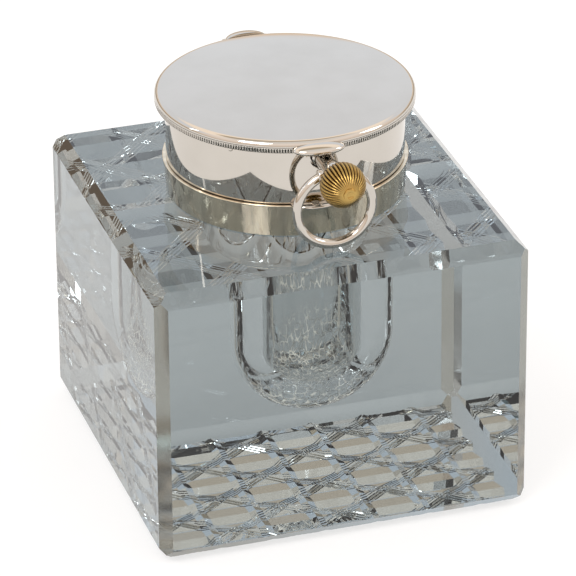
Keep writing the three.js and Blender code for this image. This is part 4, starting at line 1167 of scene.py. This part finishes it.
def dial():
    z0 = low("watch_dial").z
    outline = [
        (DIAL_HOLE, z0),
        (DIAL_RADIUS, z0),
        (DIAL_RADIUS, DIAL_TOP - DIAL_EDGE),
        (DIAL_RADIUS - DIAL_BEVEL, DIAL_TOP),
        (DIAL_HOLE, DIAL_TOP),
    ]
    bm = spin(soften(outline, DIAL_EDGE, closed=True), FLAT_SEGMENTS, closed=True)
    made = object_of("dial_plate", bm)
    centre = (AXIS_X, AXIS_Y + SECONDS_REACH)
    place = lambda r, h, angle: Vector((centre[0] + r * math.cos(angle), centre[1] + r * math.sin(angle), h))
    floor_z, above, below = DIAL_TOP - SECONDS_SUNK, DIAL_TOP + OVERRUN / 2, z0 - OVERRUN / 2
    recess = [(0, floor_z), (SECONDS_RECESS, floor_z), (SECONDS_RECESS_TOP, above), (0, above)]
    combine(made, spin(recess, RECESS_SEGMENTS, place=place), "DIFFERENCE")
    hole = [(0, below), (SECONDS_HOLE, below), (SECONDS_HOLE, above), (0, above)]
    combine(made, spin(hole, SMALL_SEGMENTS, place=place), "DIFFERENCE")
    dress(made, enamel, "lid", "enamel", "watch_dial")


dial()


def dial_marks():
    """Plain numbers, a minute track and a seconds track, all of thin paint."""
    bm = bmesh.new()

    def bar(centre, track, minutes, width, z):
        inner, outer = track
        a, b = on_dial(centre, inner, minutes), on_dial(centre, outer, minutes)
        side = (b - a).normalized().cross(Vector((0, 0, 1))) * width / 2
        points = [a - side, a + side, b + side, b - side]
        lower = [bm.verts.new((p.x, p.y, z)) for p in points]
        upper = [bm.verts.new((p.x, p.y, z + PAINT)) for p in points]
        bm.faces.new(lower)
        bm.faces.new(upper)
        for i in range(4):
            j = (i + 1) % 4
            bm.faces.new((lower[i], lower[j], upper[j], upper[i]))

    middle = (AXIS_X, AXIS_Y)
    seconds = (AXIS_X, AXIS_Y + SECONDS_REACH)
    for minute in range(60):
        width = HOUR_MARK if minute % 5 == 0 else MINUTE_MARK
        bar(middle, MINUTE_TRACK, minute, width, DIAL_TOP)
        if minute % 5 == 0:
            bar(seconds, SECONDS_TRACK, minute, SECONDS_MARK, DIAL_TOP - SECONDS_SUNK)
    for hour in range(1, 13):
        if hour == 6:
            continue
        letters = bpy.data.curves.new("number", "FONT")
        letters.body = str(hour)
        letters.size = NUMBER_SIZE
        letters.align_x = "CENTER"
        letters.align_y = "CENTER"
        letters.extrude = PAINT / 2
        holder = bpy.data.objects.new("number", letters)
        bpy.context.scene.collection.objects.link(holder)
        graph = bpy.context.evaluated_depsgraph_get()
        mesh = bpy.data.meshes.new_from_object(holder.evaluated_get(graph))
        place = on_dial(middle, NUMBER_REACH, hour * 5) + Vector((0, 0, PAINT / 2))
        mesh.transform(Matrix.Translation(place) @ Matrix.Rotation(math.pi, 4, "Z"))
        bm.from_mesh(mesh)
        bpy.data.objects.remove(holder)
        bpy.data.curves.remove(letters)
        bpy.data.meshes.remove(mesh)
    bmesh.ops.recalc_face_normals(bm, faces=bm.faces)
    dress(object_of("dial_numbers", bm), ink, "lid", "enamel")


dial_marks()


# Carried-over CAD nodes get their materials

LOOKS = {
    "cement": plaster, "silver": silver, "gilt": gilt, "brass": brass, "steel": steel,
    "blued_steel": blued, "enamel": enamel, "crystal": crystal_glass, "glass": glass,
}
for row in frame["record"]["subparts"]:
    held = frame["nodes"][row["node"]]
    for holder in held.material_slots:
        holder.material = LOOKS[row["material_slot"]]


# Floor, world, lights and camera

# The floor is a light table: it shines a little, so the block throws almost no shadow
FLOOR_GLOW = 0.68
FLOOR_HALF = 3000
FLOOR_DROP = 0.05


def floor():
    bm = bmesh.new()
    bmesh.ops.create_grid(bm, x_segments=8, y_segments=8, size=FLOOR_HALF)
    bmesh.ops.translate(bm, vec=(0, 0, -FLOOR_DROP), verts=bm.verts)
    made = object_of("floor", bm)
    look = dull("pale_floor", (0.30, 0.30, 0.30), (0.28, 0.28, 0.28), 0.9, 3, 0.0)
    glow = look.node_tree.nodes["Principled BSDF"].inputs
    glow["Emission Color"].default_value = (1, 1, 1, 1)
    glow["Emission Strength"].default_value = FLOOR_GLOW
    made.data.materials.append(look)


floor()

scene = bpy.context.scene
scene.view_settings.view_transform = "Standard"


def world():
    """A pale studio: a cool back wall over brown bands with a thin pale strip, and a warmer front."""
    made = bpy.data.worlds.new("studio")
    scene.world = made
    made.use_nodes = True
    tree = made.node_tree
    background = tree.nodes["Background"]
    place = tree.nodes.new("ShaderNodeTexCoord")
    split = tree.nodes.new("ShaderNodeSeparateXYZ")
    link(tree, place, "Generated", split, "Vector")
    behind = ramp(tree, split, "Z", [
        (0.0, (0.58, 0.46, 0.33)),
        (0.155, (0.58, 0.46, 0.33)),
        (0.163, (0.98, 1.08, 1.20)),
        (0.186, (0.98, 1.08, 1.20)),
        (0.195, (1.10, 0.86, 0.63)),
        (0.275, (1.10, 0.88, 0.68)),
        (0.31, (1.06, 1.12, 1.22)),
        (0.62, (1.04, 1.08, 1.17)),
        (0.74, (1.50, 1.32, 1.15)),
        (0.86, (1.50, 1.32, 1.15)),
        (0.90, (0.70, 0.58, 0.44)),
        (1.0, (0.60, 0.50, 0.38)),
    ])
    before = ramp(tree, split, "Z", [
        (0.0, (0.70, 0.57, 0.46)),
        (0.12, (1.05, 0.90, 0.79)),
        (0.45, (1.20, 1.06, 0.97)),
        (0.70, (1.30, 1.18, 1.10)),
        (1.0, (1.05, 1.02, 1.0)),
    ])
    side = ramp(tree, split, "Y", greys((0.0, 1.0), (0.2, 0.0)))
    blend = mix(tree, side, "Color", behind, "Color", before, "Color")
    tree.links.new(blend.outputs[2], background.inputs["Color"])
    background.inputs["Strength"].default_value = 1.0


world()

LIGHT_AIM_HEIGHT = 45


def area_light(name, azimuth, elevation, distance, size, power):
    """A soft panel that looks at the middle of the object. Azimuth 0 is in front, 90 to the right."""
    data = bpy.data.lights.new(name, "AREA")
    data.shape = "RECTANGLE"
    data.size, data.size_y = size
    data.energy = power
    made = bpy.data.objects.new(name, data)
    a, e = math.radians(azimuth), math.radians(elevation)
    away = Vector((math.sin(a) * math.cos(e), -math.cos(a) * math.cos(e), math.sin(e)))
    aim = Vector((0, 0, LIGHT_AIM_HEIGHT * MM))
    made.location = aim + away * distance
    made.rotation_euler = away.to_track_quat("Z", "Y").to_euler()
    scene.collection.objects.link(made)


area_light("key_panel", -50, 50, 1.3, (0.45, 0.45), 6)
area_light("fill_panel", 70, 35, 1.4, (0.3, 0.5), 3)
area_light("left_panel", -105, 25, 1.3, (0.05, 0.5), 0.5)

CAMERA_YAW = -17.48
CAMERA_PITCH = 27.69
CAMERA_ROLL = -0.46
CAMERA_DISTANCE = 1004.5
CAMERA_AIM_SIDE = 0.49
CAMERA_AIM_HEIGHT = 38.7
FOCAL_PIXELS = 4622
IMAGE_PIXELS = 576
SENSOR_WIDTH = 36


def camera():
    yaw, pitch, roll = (math.radians(v) for v in (CAMERA_YAW, CAMERA_PITCH, CAMERA_ROLL))
    back = Vector((math.sin(yaw) * math.cos(pitch), -math.cos(yaw) * math.cos(pitch), math.sin(pitch)))
    right = Vector((math.cos(yaw), math.sin(yaw), 0))
    up = back.cross(right)
    side = right * math.cos(roll) + up * math.sin(roll)
    top = up * math.cos(roll) - right * math.sin(roll)
    aim = Vector((CAMERA_AIM_SIDE * math.cos(yaw), CAMERA_AIM_SIDE * math.sin(yaw), CAMERA_AIM_HEIGHT))
    place = (aim + back * CAMERA_DISTANCE) * MM
    data = bpy.data.cameras.new("camera")
    data.sensor_width = SENSOR_WIDTH
    data.lens = FOCAL_PIXELS / IMAGE_PIXELS * SENSOR_WIDTH
    data.clip_end = 20
    made = bpy.data.objects.new("camera", data)
    made.matrix_world = Matrix((
        (side.x, top.x, back.x, place.x),
        (side.y, top.y, back.y, place.y),
        (side.z, top.z, back.z, place.z),
        (0, 0, 0, 1),
    ))
    scene.collection.objects.link(made)
    scene.camera = made


camera()
